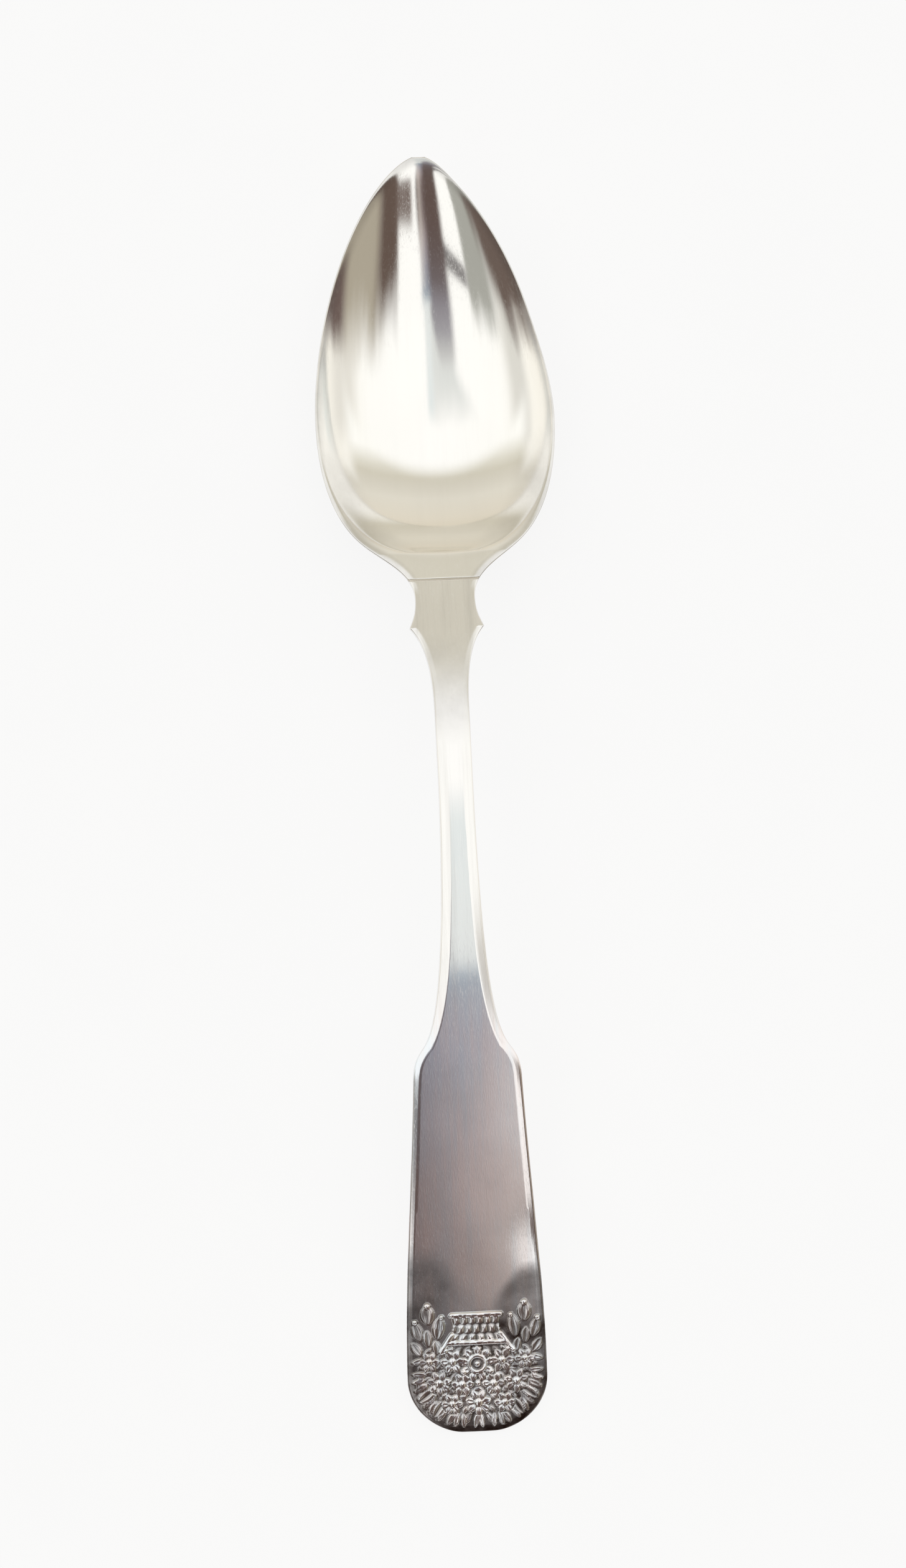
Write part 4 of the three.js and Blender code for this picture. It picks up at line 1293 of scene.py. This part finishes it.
def table():
    """White table under the spoon, wide enough to fill the view from any side."""
    mesh = bpy.data.meshes.new("table")
    corners = [(x * TABLE_REACH, y * TABLE_REACH, 0) for x, y in ((-1, -1), (1, -1), (1, 1), (-1, 1))]
    mesh.from_pydata(corners, [], [(0, 1, 2, 3)])
    mesh.materials.append(floor_white())
    piece = bpy.data.objects.new("table", mesh)
    bpy.context.scene.collection.objects.link(piece)


# Nearly straight above, a little left of the spoon and towards its handle, rolled as in the photograph
EYE = Vector((-0.050, -0.070, 1.0))
AIM = Vector((0.0003, 0.00135, 0.008))
ROLL_DEGREES = 2.66
PIXELS_PER_MM = 9.24
FRAME_HEIGHT = 2520
SENSOR_HEIGHT = 36.0
SIGHT_END = 20.0


def photo_camera():
    data = bpy.data.cameras.new("photo_camera")
    data.sensor_fit = "VERTICAL"
    data.sensor_height = SENSOR_HEIGHT
    sight = AIM - EYE
    data.lens = SENSOR_HEIGHT * PIXELS_PER_MM * sight.length / MM / FRAME_HEIGHT
    data.clip_end = SIGHT_END
    roll = math.radians(ROLL_DEGREES)
    forward = sight.normalized()
    right = forward.cross(Vector((math.sin(roll), math.cos(roll), 0))).normalized()
    up = right.cross(forward)
    turn = Matrix((right, up, -forward)).transposed().to_4x4()
    camera = bpy.data.objects.new("photo_camera", data)
    camera.matrix_world = Matrix.Translation(EYE) @ turn
    bpy.context.scene.collection.objects.link(camera)
    bpy.context.scene.camera = camera


def finish_piece(piece, material, node):
    piece.data.materials.append(material)
    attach(piece, "root")
    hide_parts(node)


photo_camera()
table()
room_light()

# Silver of each piece: clean colour, roughness of the polish, film, depth of scratches, strength of streaks
bowl_silver = silver("worn_silver_bowl", (0.945, 0.93, 0.895), 0.07, 0.04, 4e-6, 0.015)
handle_silver = silver("worn_silver_handle", (0.93, 0.915, 0.89), 0.08, 0.07, 9e-6, 0.12)
solder_silver = silver("dull_solder", (0.8, 0.75, 0.66), 0.3, 0.1, 6e-6, 0.02)

finish_piece(bowl(), bowl_silver, "bowl")
finish_piece(handle(), handle_silver, "handle")
finish_piece(solder_seam(), solder_silver, "solder_seam")

bpy.context.scene.view_settings.view_transform = "Standard"
